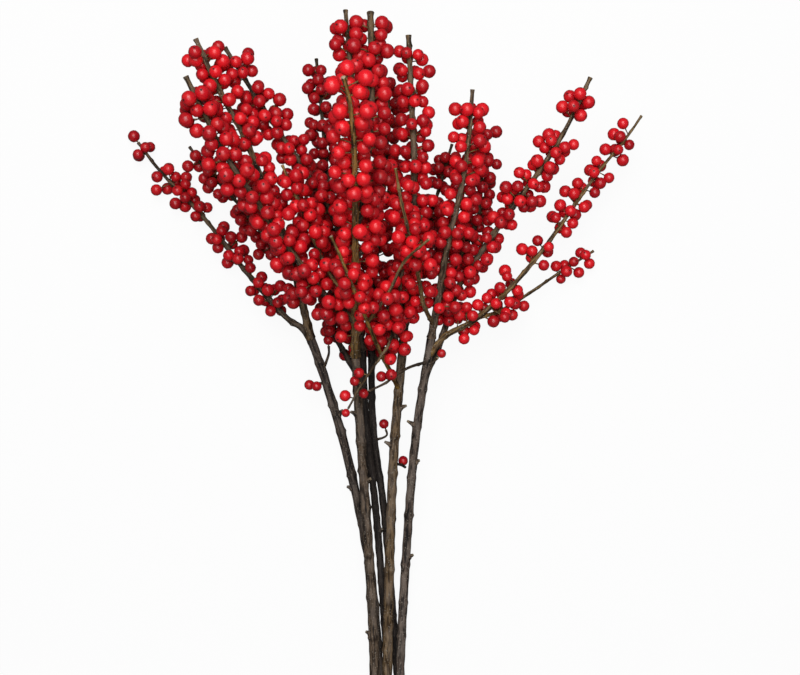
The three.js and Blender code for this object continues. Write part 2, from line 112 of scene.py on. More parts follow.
# Bare stems: radius at the cut end and at the top, snags (run, angle round the stem, height), how
# young the bark is at either end, how much painted shade its colour takes for the shade that the
# stem lay in, and the route from the cut end upwards.
STEMS = (
    dict(name="stem_1", radius=(3.9, 3.3), snags=((221, 10, 5), (280, 170, 6)),
         young=(0, 0), dark=0.3,
         route=((0, -277, 3.6), (-5, -177, 4.6), (-12.5, -106, 8), (-28.5, -29, 14), (-44, 27, 26),
                (-54, 59, 40))),
    dict(name="stem_2", radius=(4.1, 3.3), snags=((97, 5, 5), (220, 170, 5), (275, 10, 6)),
         young=(0.1, 0.1), dark=0.12,
         route=((-6, -267, 12), (-7, -182, 13.5), (-11.5, -95, 24), (-16.5, -10, 50),
                (-19, 46, 75))),
    dict(name="stem_3", radius=(3.1, 2.6), snags=((190, 150, 4),),
         young=(0, 0), dark=0.9,
         route=((8.5, -280, 3), (2, -177, 4.5), (-5, -82, 12), (-13, -4, 22), (-15, 50, 36))),
    dict(name="stem_4", radius=(3.1, 2.6), snags=(),
         young=(0, 0), dark=0.85,
         route=((16, -274, 3), (9, -177, 4), (1, -79, 7.5), (-7.5, -12, 14), (-9, 50, 26))),
    dict(name="stem_5", radius=(4, 3.4), snags=((253, 15, 8), (283, 165, 7)),
         young=(0.32, 0.22), dark=0.08,
         route=((3, -275, 12), (3.5, -182, 12.5), (6, -81, 20), (9, -18, 32), (15, 52, 50))),
    dict(name="stem_6", radius=(3.5, 3.2), snags=((159, 175, 5), (235, 170, 4), (264, 15, 9)),
         young=(0, 0), dark=0,
         route=((11, -269, 11), (14, -175, 12.5), (18.5, -96, 18), (23, -34, 30), (28, 8, 42),
                (36, 59, 60))),
)


def branch(name, face=ALL_ROUND, fill=7, young=(0.1, 0.35), dark=0, **own):
    """A fruiting branch's row: what most of them share, unless its own values say otherwise."""
    return dict(name=name, face=face, fill=fill, young=young, dark=dark, **own)


# Fruiting branches. on: the wood that it grows on. radius: of its wood, root and tip. berry: mean
# diameter. pitch: between knots. face: the arc round the twig that bears fruit, in degrees, with 90
# straight up. bare: stretches without fruit, as shares of the length. last: diameter of the berry
# that the twig ends in, where it ends in one. fill: rounds of filling berries at every knot.
# fill_face, fill_bare: the arc and the bare stretches of the filling berries, where they differ.
# fill_size: their mean size over that of the frame's, where it differs. covered: stretches where
# they leave their arc and go all round the twig. A row's shade value is painted shade: it deepens
# the bark and the berries of a branch that lay in shade, and below zero it is painted light that
# brightens the berries of a front branch.
BRANCHES = (
    branch("spray_1_leader", on="stem_1", radius=(3, 1.6), berry=9, pitch=11, face=(140, 400),
           bare=((0, 0.12), (0.96, 1)), fill=8, fill_face=(100, 440), young=(0.3, 0.35), dark=0.1,
           route=((-54, 59, 40), (-60, 90, 60), (-67, 123, 80), (-80, 159, 97), (-94, 196, 109),
                  (-109, 225, 117), (-126, 262, 124))),
    branch("spray_1_outer_left", on="stem_1", radius=(2.4, 1.1), berry=8.6, pitch=11,
           face=(30, 290), bare=((0, 0.16), (0.36, 0.4), (0.57, 0.61), (0.88, 0.93)), last=9.6,
           fill=4, dark=0.35,
           route=((-50, 47, 35), (-60, 65, 34), (-75, 76, 31), (-106, 111, 22), (-138, 151, 13.5),
                  (-172, 187, 9), (-190, 210, 8))),
    branch("spray_1_lower_left", on="spray_1_leader", radius=(1.7, 1), berry=8.4, pitch=12,
           bare=((0, 0.1), (0.9, 1)), dark=0.5,
           route=((-62, 102, 67), (-82, 127, 52), (-106, 157, 45), (-133, 186, 40),
                  (-145, 202, 38))),
    branch("spray_2_leader", on="stem_2", radius=(3.1, 1.2), berry=10.6, pitch=10, face=(135, 405),
           bare=((0, 0.14),), fill=9, fill_face=(144, 396), fill_bare=((0, 0.07),), fill_size=0.92,
           covered=((0.25, 0.33), (0.59, 0.69)), young=(0.65, 0.9), dark=-0.3,
           route=((-19, 46, 75), (-18, 85, 103), (-17, 125, 133), (-16, 155, 163), (-16, 183, 190),
                  (-18, 204, 210), (-21, 215, 222))),
    branch("spray_2_left", on="spray_2_leader", radius=(2.4, 1.6), berry=9.2, pitch=11,
           face=(140, 400), bare=((0, 0.1), (0.95, 1)), fill=8, fill_face=(90, 450),
           fill_bare=((0, 0.03), (0.95, 1)), young=(0.35, 0.3), dark=0.36,
           route=((-19, 70, 92), (-42, 91, 100), (-66, 124, 113), (-89, 158, 127), (-108, 188, 135),
                  (-117, 207, 140), (-129, 232, 145))),
    branch("spray_2_left_inner", on="spray_2_leader", radius=(1.5, 0.9), berry=9, pitch=11,
           bare=((0, 0.1),), young=(0.6, 0.7),
           route=((-18, 82, 101), (-33, 99, 99), (-43, 117, 99), (-57, 152, 102), (-69, 179, 104))),
    branch("spray_2_top", on="spray_2_leader", radius=(2.4, 2.1), berry=9.4, pitch=11,
           face=(145, 395), bare=((0, 0.06), (0.95, 1)), dark=0.35,
           route=((-16, 131, 138), (-11, 151, 142), (-8, 190, 142), (-6, 232, 136),
                  (-7, 279, 128))),
    branch("spray_2_top_left", on="spray_2_top", radius=(1.8, 1.4), berry=9, pitch=11,
           bare=((0, 0.06), (0.86, 1)), dark=0.2,
           route=((-8, 184, 142), (-17, 217, 140), (-21, 249, 134), (-24, 281, 126))),
    branch("spray_2_right_inner", on="spray_2_leader", radius=(1.5, 0.9), berry=9.2, pitch=11,
           bare=((0, 0.1),),
           route=((-17, 112, 123), (-6, 128, 118), (1, 154, 114), (4, 178, 110))),
    branch("twig_2_budded", on="spray_2_leader", radius=(1.4, 0.8), berry=8.8, pitch=12,
           face=(170, 370), bare=((0, 0.1), (0.55, 1)), fill=4, fill_face=ALL_ROUND,
           fill_bare=((0, 0.1), (0.5, 1)), young=(0.55, 0.5), dark=0.1,
           route=((-19, 60, 85), (-7, 73, 100), (6, 91, 122), (16, 110, 136), (32, 124, 144))),
    branch("spray_3_leader", on="stem_3", radius=(2.4, 1.4), berry=8.8, pitch=11,
           bare=((0, 0.1), (0.95, 1)), fill=8, dark=0.38,
           route=((-15, 50, 36), (-22, 98, 56), (-34, 143, 72), (-51, 172, 82), (-69, 199, 90),
                  (-88, 228, 97), (-109, 261, 104))),
    branch("spray_3_back", on="stem_3", radius=(2.2, 1.2), berry=8.8, pitch=12,
           bare=((0, 0.16), (0.96, 1)), dark=0.7,
           route=((-14, 22, 28.5), (-27, 44, 32), (-37, 68, 37), (-37, 117, 38), (-41, 170, 34),
                  (-46, 224, 27), (-51, 272, 21))),
    branch("spray_3_low", on="stem_3", radius=(1.9, 1), berry=8.8, pitch=12, bare=((0, 0.08),),
           dark=0.5,
           route=((-15, 34, 32), (-22, 56, 26), (-32, 92, 18), (-50, 138, 11), (-64, 181, 8.5))),
    branch("spray_4_leader", on="stem_4", radius=(2.4, 1.2), berry=8.8, pitch=12, bare=((0, 0.1),),
           dark=0.4,
           route=((-9, 50, 26), (-7, 95, 34), (-2, 147, 40), (3, 199, 44), (5, 247, 46))),
    branch("spray_4_low", on="stem_4", radius=(1.9, 1), berry=8.8, pitch=12, bare=((0, 0.08),),
           dark=0.5,
           route=((-8.5, 34, 21.5), (-2, 56, 20), (8, 90, 16), (27, 123, 10.5), (44, 156, 8.5))),
    branch("sprig_4_side", on="stem_4", radius=(1, 0.7), berry=7.2, pitch=12, face=(60, 120),
           bare=(), last=7.6, fill=0, dark=0.7,
           route=((-6.5, -20, 13), (-0.5, -18.2, 17), (3, -15.6, 19), (2.2, -11.8, 20))),
    branch("spray_5_leader", on="stem_5", radius=(2.9, 1.7), berry=8.8, pitch=11, face=(145, 395),
           bare=((0, 0.1), (0.95, 1)), fill=8, dark=0.15,
           route=((15, 52, 50), (18, 86, 64), (22, 136, 78), (23, 181, 90), (21, 226, 98),
                  (19, 270, 102))),
    branch("spray_5_back", on="spray_5_leader", radius=(1.9, 1), berry=8.6, pitch=11,
           bare=((0, 0.08),), dark=0.6,
           route=((18, 88, 64.5), (26, 120, 50), (41, 166, 42), (52, 204, 38))),
    branch("spray_5_inner", on="spray_5_leader", radius=(1.5, 0.9), berry=9, pitch=11,
           bare=((0, 0.1),),
           route=((16.5, 68, 57), (13, 92, 82), (18, 120, 96), (28, 144, 103))),
    branch("spray_5_short", on="stem_5", radius=(1.4, 0.9), berry=8.8, pitch=11, bare=((0, 0.2),),
           route=((14, 44, 48), (10, 60, 76), (5, 77, 94), (2, 95, 104))),
    branch("twig_5_hanging", on="spray_5_short", radius=(1.1, 0.7), berry=8, pitch=10,
           face=(150, 210), bare=((0, 0.5),), last=6.2, fill=0, young=(0.45, 0.25), dark=0.25,
           route=((8, 66, 82), (5, 54, 92), (-1, 45, 97), (-14, 26, 94), (-23.5, 9, 88))),
    branch("twig_5_golden", on="stem_5", radius=(1.7, 0.9), berry=8.4, pitch=15, face=(170, 370),
           bare=((0, 0.12), (0.5, 0.7)), fill=4, fill_face=ALL_ROUND,
           fill_bare=((0, 0.62), (0.84, 1)), young=(0.95, 0.9),
           route=((12, 20, 42), (6, 34, 62), (-3, 53, 88), (-12, 76, 118), (-23, 104, 142),
                  (-32, 125, 156))),
    branch("sprig_5_side", on="stem_5", radius=(1, 0.8), berry=8, pitch=5, face=(250, 290),
           bare=((0, 0.4),), fill=0, dark=1,
           route=((9, -37, 29), (14, -38, 26), (17, -40, 23))),
    branch("spray_6_leader", on="stem_6", radius=(2.7, 1.3), berry=8.8, pitch=12, face=(145, 395),
           bare=((0, 0.08), (0.32, 0.38), (0.93, 1)), fill=8, dark=0.1,
           route=((36, 59, 60), (40, 84, 72), (47, 126, 88), (56, 164, 99), (61, 200, 107),
                  (63, 230, 112))),
    branch("spray_6_right", on="stem_6", radius=(2.5, 1.4), berry=8.8, pitch=11,
           bare=((0, 0.14), (0.45, 0.5), (0.81, 0.86), (0.95, 1)), young=(0.15, 0.35), dark=0.12,
           route=((31, 30, 49.5), (44, 58, 45), (57, 98, 50), (75, 125, 57), (95, 154, 63),
                  (115, 181, 68), (133, 210, 72), (150, 246, 76))),
    branch("spray_6_outer_right", on="stem_6", radius=(2.2, 0.9), berry=8.6, pitch=11,
           face=(-20, 110), bare=((0, 0.1), (0.36, 0.41), (0.5, 0.55), (0.93, 1)), fill=4,
           fill_face=(160, 385), young=(0.6, 0.6), dark=0.12,
           route=((33.5, 45, 55), (46, 60, 61), (68, 72, 56), (95, 96, 49), (123, 129, 44),
                  (157, 177, 41), (182, 208, 40), (194, 225, 40))),
    branch("spray_6_low_right", on="spray_6_outer_right", radius=(1.4, 0.9), berry=8.2, pitch=11,
           bare=((0, 0.1), (0.4, 0.7), (0.95, 1)), fill=2, young=(0.8, 0.5), dark=0.15,
           route=((70, 73, 55.5), (88, 79, 42), (112, 93, 24), (136, 109, 12), (163, 126, 8))),
    branch("spray_6_inner", on="spray_6_leader", radius=(1.6, 0.9), berry=8.8, pitch=11,
           face=(140, 400), bare=((0, 0.15), (0.95, 1)), fill_face=ALL_ROUND,
           fill_bare=((0, 0.42), (0.72, 1)), young=(0.5, 0.7),
           route=((37.5, 68, 65), (30, 82, 86), (26, 101, 104), (20, 127, 122), (14, 150, 132),
                  (10, 172, 138))),
    branch("spray_6_back", on="spray_6_leader", radius=(1.7, 1), berry=8.6, pitch=11,
           bare=((0, 0.12),), dark=0.65,
           route=((41, 90, 74.5), (55, 114, 62), (70, 145, 47), (74, 177, 41), (73, 216, 38))),
    branch("twig_6_cross", on="stem_6", radius=(1.1, 0.8), berry=8, pitch=14, face=(150, 210),
           bare=((0, 0.55),), last=7.4, fill=1, dark=0.7,
           route=((33, 41, 54), (19, 37, 68), (9, 31, 76), (2, 26, 79), (-8.5, 21, 80))),
    branch("sprig_6_side", on="stem_6", radius=(1.2, 0.8), berry=8, pitch=10, bare=(), last=6.8,
           fill=0, dark=0.6,
           route=((33, 38, 53), (37.5, 41, 56.5), (40.5, 44, 58.5))),
    branch("sprig_1_side", on="stem_1", radius=(1.1, 0.8), berry=7.8, pitch=3, face=(80, 100),
           bare=(), last=8, fill=0, dark=0.4,
           route=((-43, 24, 25), (-47, 24.2, 27), (-50.5, 23.8, 28))),
    branch("sprig_1_crotch", on="stem_1", radius=(1.2, 0.8), berry=7.6, pitch=30, face=(60, 120),
           bare=(), last=7.6, fill=0, dark=0.5,
           route=((-46, 33, 29), (-42.5, 41, 33.5), (-40.5, 47, 37), (-40.5, 52.3, 39.5))),
)


# ---------------------------------------------------------------- chance and curves
def draw(seed, index):
    """A repeatable draw between 0 and 1: the fraction of a large sine. Takes arrays too."""
    value = np.sin(seed * SINE[0] + index * SINE[1]) * SINE[2]
    return value - np.floor(value)


def unit(vectors):
    """The vectors, each divided by its own length."""
    return vectors / np.maximum(np.linalg.norm(vectors, axis=-1, keepdims=True), TINY)


def smooth_line(route):
    """A uniform Catmull-Rom curve through the route, whose end tangents repeat the end steps."""
    points = np.array(route, float)
    ends = [2 * points[0] - points[1]], [2 * points[-1] - points[-2]]
    before, start, end, after = (
        np.concatenate([ends[0], points, ends[1]])[i:i + len(points) - 1, None] for i in range(4))
    t = (np.arange(CURVE_STEPS) / CURVE_STEPS)[None, :, None]
    leave, arrive = (end - before) / 2, (after - start) / 2
    curve = (start + leave * t + (3 * (end - start) - 2 * leave - arrive) * t**2
             + (2 * (start - end) + leave + arrive) * t**3)
    return np.concatenate([curve.reshape(-1, 3), points[-1:]])


class Wood:
    """A stem or twig: a smooth line through its route, with the length run up to each sample."""

    def __init__(self, row, line):
        self.row, self.line = row, line
        self.root_radius, self.tip_radius = row["radius"]
        steps = np.linalg.norm(np.diff(line, axis=0), axis=1)
        self.run = np.concatenate([[0], np.cumsum(steps)])
        self.length = self.run[-1]

    def at(self, distance):
        """Points at distances along the line, by straight steps between its samples."""
        return np.stack([np.interp(distance, self.run, axis) for axis in self.line.T], -1)

    def radius(self, distance):
        """The plain tapered radius at distances along the line."""
        share = np.clip(distance / self.length, 0, 1)
        return self.root_radius + (self.tip_radius - self.root_radius) * share

    def directions(self, distance):
        """Along the wood, level across it, and upwards across it, at distances."""
        ahead = self.at(np.minimum(self.length, distance + DIRECTION_REACH))
        along = unit(ahead - self.at(np.maximum(0, distance - DIRECTION_REACH)))
        level = unit(np.stack([-along[..., 1], along[..., 0], np.zeros(along.shape[:-1])], -1))
        return along, level, np.cross(along, level)


def nearest_foot(line, place):
    """The nearest point of a line to a place."""
    start, step = line[:-1], np.diff(line, axis=0)
    share = np.clip(((place - start) * step).sum(1) / (step * step).sum(1), 0, 1)
    feet = start + step * share[:, None]
    return feet[np.linalg.norm(feet - place, axis=1).argmin()]


@functools.cache
def all_woods():
    """Every wood by name, each branch rooted on the line of what it grows on."""
    woods = {}
    for row in STEMS + BRANCHES:
        route = np.array(row["route"], float)
        if "on" in row:
            route[0] = nearest_foot(woods[row["on"]].line, route[0])
        woods[row["name"]] = Wood(row, smooth_line(route))
    return woods


# ---------------------------------------------------------------- places of the berries
def inside_box(centre, size):
    """Whether a ball keeps inside the frame's box at its sides and top."""
    low, high = LOWEST / MM, HIGHEST / MM
    return (centre[:2] - size >= low[:2]).all() and (centre + size <= high).all()


class Thicket:
    """All wood and the berries placed so far, and whether one more berry fits among them."""

    def __init__(self, woods):
        self.start = np.concatenate([wood.line[:-1] for wood in woods])
        self.step = np.concatenate([np.diff(wood.line, axis=0) for wood in woods])
        self.thick = np.concatenate([wood.radius(wood.run[:-1]) for wood in woods])
        self.taper = np.concatenate([np.diff(wood.radius(wood.run)) for wood in woods])
        self.owner = np.concatenate([[wood.row["name"]] * (len(wood.run) - 1) for wood in woods])
        self.centres, self.necks, self.sizes = np.zeros((0, 3)), np.zeros((0, 3)), np.zeros(0)
        self.names = np.zeros(0, "<U40")

    def wood_gaps(self, place):
        """Distance from a place to the surface of every step of wood."""
        share = ((place - self.start) * self.step).sum(1) / (self.step**2).sum(1)
        share = np.clip(share, 0, 1)
        feet = self.start + self.step * share[:, None]
        return np.linalg.norm(feet - place, axis=1) - self.thick - self.taper * share

    def fits(self, name, centre, neck, size, clear, neck_share):
        """Whether berry and neck keep clear of the box, berries, necks and wood."""
        if not inside_box(centre, size + clear["box"]):
            return False
        others = self.names != name
        gaps = np.linalg.norm(self.centres - centre, axis=1) - self.sizes - size
        if (gaps < np.where(others, clear["other"], clear["own"])).any():
            return False
        if neck_share == NECK and not self.necks_fit(others, centre, neck, size, clear["other"]):
            return False
        if self.wood_gaps(centre).min() < size + clear["wood"]:
            return False
        neck_gaps = self.wood_gaps(neck)[self.owner != name]
        return neck_gaps.min() >= neck_share * size + clear["wood"]

    def necks_fit(self, others, centre, neck, size, clear):
        """Whether the wide faceted necks of two branches keep clear of each other."""
        bodies = (self.centres, self.sizes), (self.necks, self.sizes * NECK)
        pairs = (bodies[0], neck, size * NECK), (bodies[1], centre, size), (
            bodies[1], neck, size * NECK)
        return all((np.linalg.norm(places - place, axis=1)[others] >= (sizes + own)[others]
                    + clear).all() for (places, sizes), place, own in pairs)

    def add(self, name, centre, neck, size):
        """Takes up one more berry."""
        self.centres = np.vstack([self.centres, centre])
        self.necks = np.vstack([self.necks, neck])
        self.sizes = np.append(self.sizes, size)
        self.names = np.append(self.names, name)


def try_berry(thicket, wood, distance, turn, size, stalk, lean, clear, neck_share):
    """The first free place round a knot: out at an angle in the fruiting arc, leaning up the twig,
    a stalk's length from the bark, and lifted where it would sink into the table. A filling berry
    with an arc of its own never leaves it."""
    strict = clear is FILL_BERRIES and "fill_face" in wood.row
    low, high = wood.row["fill_face" if strict else "face"]
    if strict and lies_in(wood.row.get("covered", ()), distance / wood.length):
        low, high = ALL_ROUND
    root = wood.at(distance)
    along, level, up = wood.directions(distance)
    name = wood.row["name"]
    for extra_turn, extra_stalk in TRIES:
        turned = low + turn * (high - low) + extra_turn
        if strict and not low <= turned <= high:
            continue
        angle = math.radians(turned)
        out = unit(level * math.cos(angle) + up * math.sin(angle) + along * lean)
        centre = root + out * (wood.radius(distance) + stalk + extra_stalk + size)
        centre[2] = max(centre[2], size - PRESS)
        neck = (root + centre) / 2
        if thicket.fits(name, centre, neck, size, clear, neck_share):
            thicket.add(name, centre, neck, size)
            return root, centre, size, distance
    return None


def last_berry(thicket, wood):
    """The berry that a twig ends in, straight out past its tip."""
    size = wood.row["last"] / 2
    along = wood.directions(wood.length)[0]
    centre = wood.at(wood.length) + along * (wood.radius(wood.length) + LAST_STALK + size)
    centre[2] = max(centre[2], size - PRESS)
    root = wood.at(wood.length - LAST_HOLD)
    thicket.add(wood.row["name"], centre, (root + centre) / 2, size)
    return root, centre, size, wood.length


def knot_distance(pitch, seed, knot):
    """The middle of a knot's stretch of wood, shifted by chance. Takes arrays too."""
    return FIRST_KNOT + (knot + 0.5 + KNOT_SHIFT * (draw(seed, knot) - 0.5)) * pitch


def lies_in(stretches, share):
    """Whether a share of a branch's length lies in any of the stretches."""
    return any(low <= share <= high for low, high in stretches)


def knots_of(wood, pitch):
    """How many knots a wood has, a pitch apart."""
    return int((wood.length - FIRST_KNOT) // pitch)


def drawn(pair, chance):
    """The least of a pair, plus chance's share of what may be added."""
    return pair[0] + pair[1] * chance


def berry_radius(row, seed, knot):
    """Half the branch's mean berry, made bigger or smaller by chance."""
    return row["berry"] / 2 * (1 + SIZE_SPREAD * (draw(seed, knot + DRAWS["size"]) - 0.5))


def first_berry(thicket, wood, seed, knot):
    """The one berry that every knot bears, turned from the last by the golden angle."""
    distance = knot_distance(wood.row["pitch"], seed, knot)
    if lies_in(wood.row["bare"], distance / wood.length):
        return None
    clear = FIRST_BERRIES
    turn = (knot * GOLDEN + draw(seed, DRAWS["arc"])) % 1
    stalk = drawn(clear["stalk"], draw(seed, knot + DRAWS["stalk"]))
    lean = drawn(clear["lean"], draw(seed, knot + DRAWS["lean"]))
    size = berry_radius(wood.row, seed, knot)
    return try_berry(thicket, wood, distance, turn, size, stalk, lean, clear, NECK)


def filling_berry(thicket, wood, seed, knot, round_):
    """One more berry at a knot: further round the twig each round, and shifted along it."""
    clear = FILL_BERRIES
    own = seed + FILL_SEED_STEP * (round_ + 1)
    shift = FILL_SHIFT * (draw(own, knot + DRAWS["shift"]) - 0.5) * wood.row["pitch"]
    distance = knot_distance(wood.row["pitch"], seed, knot) + shift
    bare = wood.row.get("fill_bare", wood.row["bare"])
    if distance > wood.length or lies_in(bare, distance / wood.length):
        return None
    turn = knot * GOLDEN + draw(seed, DRAWS["arc"]) + (round_ + 1) / (wood.row["fill"] + 1)
    turn = (turn + FILL_TURN * (draw(own, knot + DRAWS["turn"]) - 0.5)) % 1
    stalk = drawn(clear["stalk"], draw(own, knot + DRAWS["stalk"]))
    lean = drawn(clear["lean"], draw(own, knot + DRAWS["lean"]))
    size = berry_radius(wood.row, own, knot) * wood.row.get("fill_size", FILL_SIZE)
    return try_berry(thicket, wood, distance, turn, size, stalk, lean, clear, FILL_NECK)


@functools.cache
def all_berries():
    """(root, centre, radius, distance) of every berry by branch: first the berries of the frame,
    those that twigs end in before all others, then the filling ones between them, round after
    round at every knot."""
    woods = all_woods()
    thicket = Thicket(list(woods.values()))
    berries = {row["name"]: [] for row in BRANCHES}
    for row in BRANCHES:
        if "last" in row:
            berries[row["name"]].append(last_berry(thicket, woods[row["name"]]))
    knots = [(berries[row["name"]], woods[row["name"]], order * SEED_STEP + 1, knot)
             for order, row in enumerate(BRANCHES)
             for knot in range(knots_of(woods[row["name"]], row["pitch"]))]
    for found, wood, seed, knot in knots:
        found.append(first_berry(thicket, wood, seed, knot))
    for found, wood, seed, knot in knots:
        found += [filling_berry(thicket, wood, seed, knot, round_)
                  for round_ in range(wood.row["fill"])]
    return {name: [one for one in found if one is not None] for name, found in berries.items()}


# ---------------------------------------------------------------- meshes
def round_angles(sides):
    """The angles of a ring's points, evenly round it."""
    return np.arange(sides) * 2 * np.pi / sides


def spokes(level, up, angles):
    """Directions out of every point of a path: level times the cosine plus up times the sine."""
    return level[:, None] * np.cos(angles)[:, None] + up[:, None] * np.sin(angles)[:, None]


def tube_faces(rings, sides):
    """Quads between neighbouring rings of points, and fans from the end rings to two poles, which
    are the points after the last ring. The rings turn right-handed round the way they advance."""
    ring, side = np.meshgrid(np.arange(rings - 1), np.arange(sides), indexing="ij")
    here, beside = ring * sides + side, ring * sides + (side + 1) % sides
    quads = np.stack([here, beside, beside + sides, here + sides], -1).reshape(-1, 4)
    side = np.arange(sides)
    beside = (side + 1) % sides
    last, pole = (rings - 1) * sides, rings * sides
    first_fan = np.stack([beside, side, np.full(sides, pole)], -1)
    last_fan = np.stack([last + side, last + beside, np.full(sides, pole + 1)], -1)
    return quads, np.concatenate([first_fan, last_fan])


def tube(rings, poles, **marks):
    """A closed tube: rings (rings x sides x 3), its two poles, and per-point marks as (ring marks,
    pole marks)."""
    quads, fans = tube_faces(*rings.shape[:2])
    patch = {"points": np.concatenate([rings.reshape(-1, 3), poles]), "quads": quads, "fans": fans}
    for name, (on_rings, on_poles) in marks.items():
        width = on_poles.shape[1:]
        patch[name] = np.concatenate([on_rings.reshape(-1, *width), on_poles])
    return patch


def join(patches):
    """Several patches as one, with their corner numbers moved on."""
    starts = np.cumsum([0] + [len(patch["points"]) for patch in patches[:-1]])
    whole = {}
    for key in patches[0]:
        shifts = starts if key in ("quads", "fans") else [0] * len(patches)
        whole[key] = np.concatenate([patch[key] + s for patch, s in zip(patches, shifts)])
    return whole


def add_piece(name, patch, material, node):
    """A smooth-shaded mesh object of a patch, in metres. It stays inside the frame's box and above
    the table, rides on the body and stands for its node."""
    points = np.clip(patch["points"] * MM, LOWEST, HIGHEST)
    corners = np.concatenate([patch["quads"].ravel(), patch["fans"].ravel()])
    totals = np.repeat([4, 3], [len(patch["quads"]), len(patch["fans"])])
    mesh = bpy.data.meshes.new(name)
    mesh.vertices.add(len(points))
    mesh.vertices.foreach_set("co", points.ravel())
    mesh.loops.add(len(corners))
    mesh.loops.foreach_set("vertex_index", corners)
    mesh.polygons.add(len(totals))
    mesh.polygons.foreach_set("loop_start", np.cumsum(totals) - totals)
    mesh.polygons.foreach_set("use_smooth", np.ones(len(totals), bool))
    mesh.update(calc_edges=True)
    for key, values in patch.items():
        if key in ("points", "quads", "fans"):
            continue
        is_vector = values.ndim > 1
        layer = mesh.attributes.new(key, "FLOAT_VECTOR" if is_vector else "FLOAT", "POINT")
        layer.data.foreach_set("vector" if is_vector else "value", values.astype(float).ravel())
    mesh.validate()
    mesh.materials.append(material)
    piece = bpy.data.objects.new(name, mesh)
    bpy.context.scene.collection.objects.link(piece)
    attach(piece, BODY)
    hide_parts(node)


# ---------------------------------------------------------------- bark and twigs
RING_STEP = 1.2  # mm between two rings of points
FEWEST_RINGS = 4
STEM_SIDES = 24
TWIG_SIDES = 12
STALK_SIDES = 5
CAP_SHARES = (1.0, 0.93, 0.5, 0.16)  # rings of a cut face, as shares of its radius
CAP_ROUND = 0.25  # mm that a cut edge is rounded
COLLAR = (0.35, 4.5)  # flare of a twig at its root: share of its radius, and fall-off in mm
KNOT_SWELL = (0.14, 2.2)  # swelling of the wood at a knot: share of its radius, half length in mm
TIP_SWELL = (0.28, 1.8)  # knob at the cut tip of a branch: share of its radius, half length in mm
SNAG_LEAN = 0.5  # slope of a snag up its stem
SNAG_SIDES = 8
# Share of a snag's height, and its radius there in mm, from inside the stem to its broken tip.
SNAG_PROFILE = ((0, 2.6), (0, 2.5), (0.25, 1.75), (0.5, 1.25), (0.72, 0.95))
SNAG_START = 0.8  # where a snag starts, over the stem's radius: back down the stem, and outwards
SNAG_YOUNG, SNAG_CUT = 0.1, 0.6  # how young its bark is, and how much its tip shows cut wood
BUD = (0.45, 1.0, 0.45)  # leaf scar or bud: height and half length in mm, half width in radians
BUD_TURN = (0.5, 0.13)  # from bud to bud, and the most that chance adds, as shares of a turn
STEM_PITCH = 34  # mm between the knots of a bare stem
WAVES = 5  # slow waves in the bark
WAVE_LENGTH = (7, 23)  # mm, and the most that chance adds
WAVE_TURNS = 4  # the waves wind 0, 1, 2 and 3 times round the wood, and then 0 times again
WAVE_PHASE = 6  # radians, the most that chance moves a wave
WAVE_HEIGHT = 0.022  # share of the wood's radius
GRAIN_SHIFT = 1000  # mm, the most that one wood's bark pattern is set apart from another's


def relief(wood, distance, angle, seed):
    """Height of the bark over its plain radius, in mm: slow waves along and round the wood, a
    swelling at every knot, and a bud beside it on alternate sides."""
    plain = wood.radius(distance)
    waves = np.zeros(np.broadcast(distance, angle).shape)
    for wave in range(WAVES):
        length = drawn(WAVE_LENGTH, draw(seed, wave))
        phase = WAVE_PHASE * draw(seed, wave + DRAWS["phase"])
        waves += np.sin(2 * np.pi * distance / length + (wave % WAVE_TURNS) * angle + phase)
    height = WAVE_HEIGHT * plain * waves
    pitch = wood.row.get("pitch", STEM_PITCH)
    knots = np.arange(knots_of(wood, pitch))
    places = knot_distance(pitch, seed, knots)
    away = distance[..., None] - places
    swell = np.exp(-(away / KNOT_SWELL[1])**2)
    height = height + plain * KNOT_SWELL[0] * swell.sum(-1)
    turn = 2 * np.pi * (
        (knots * BUD_TURN[0] + BUD_TURN[1] * draw(seed, knots + DRAWS["bud"])) % 1)
    apart = np.abs((angle[..., None] - turn + np.pi) % (2 * np.pi) - np.pi)
    buds = np.exp(-(away / BUD[1])**2 - (apart / BUD[2])**2)
    return height + BUD[0] * buds.sum(-1)


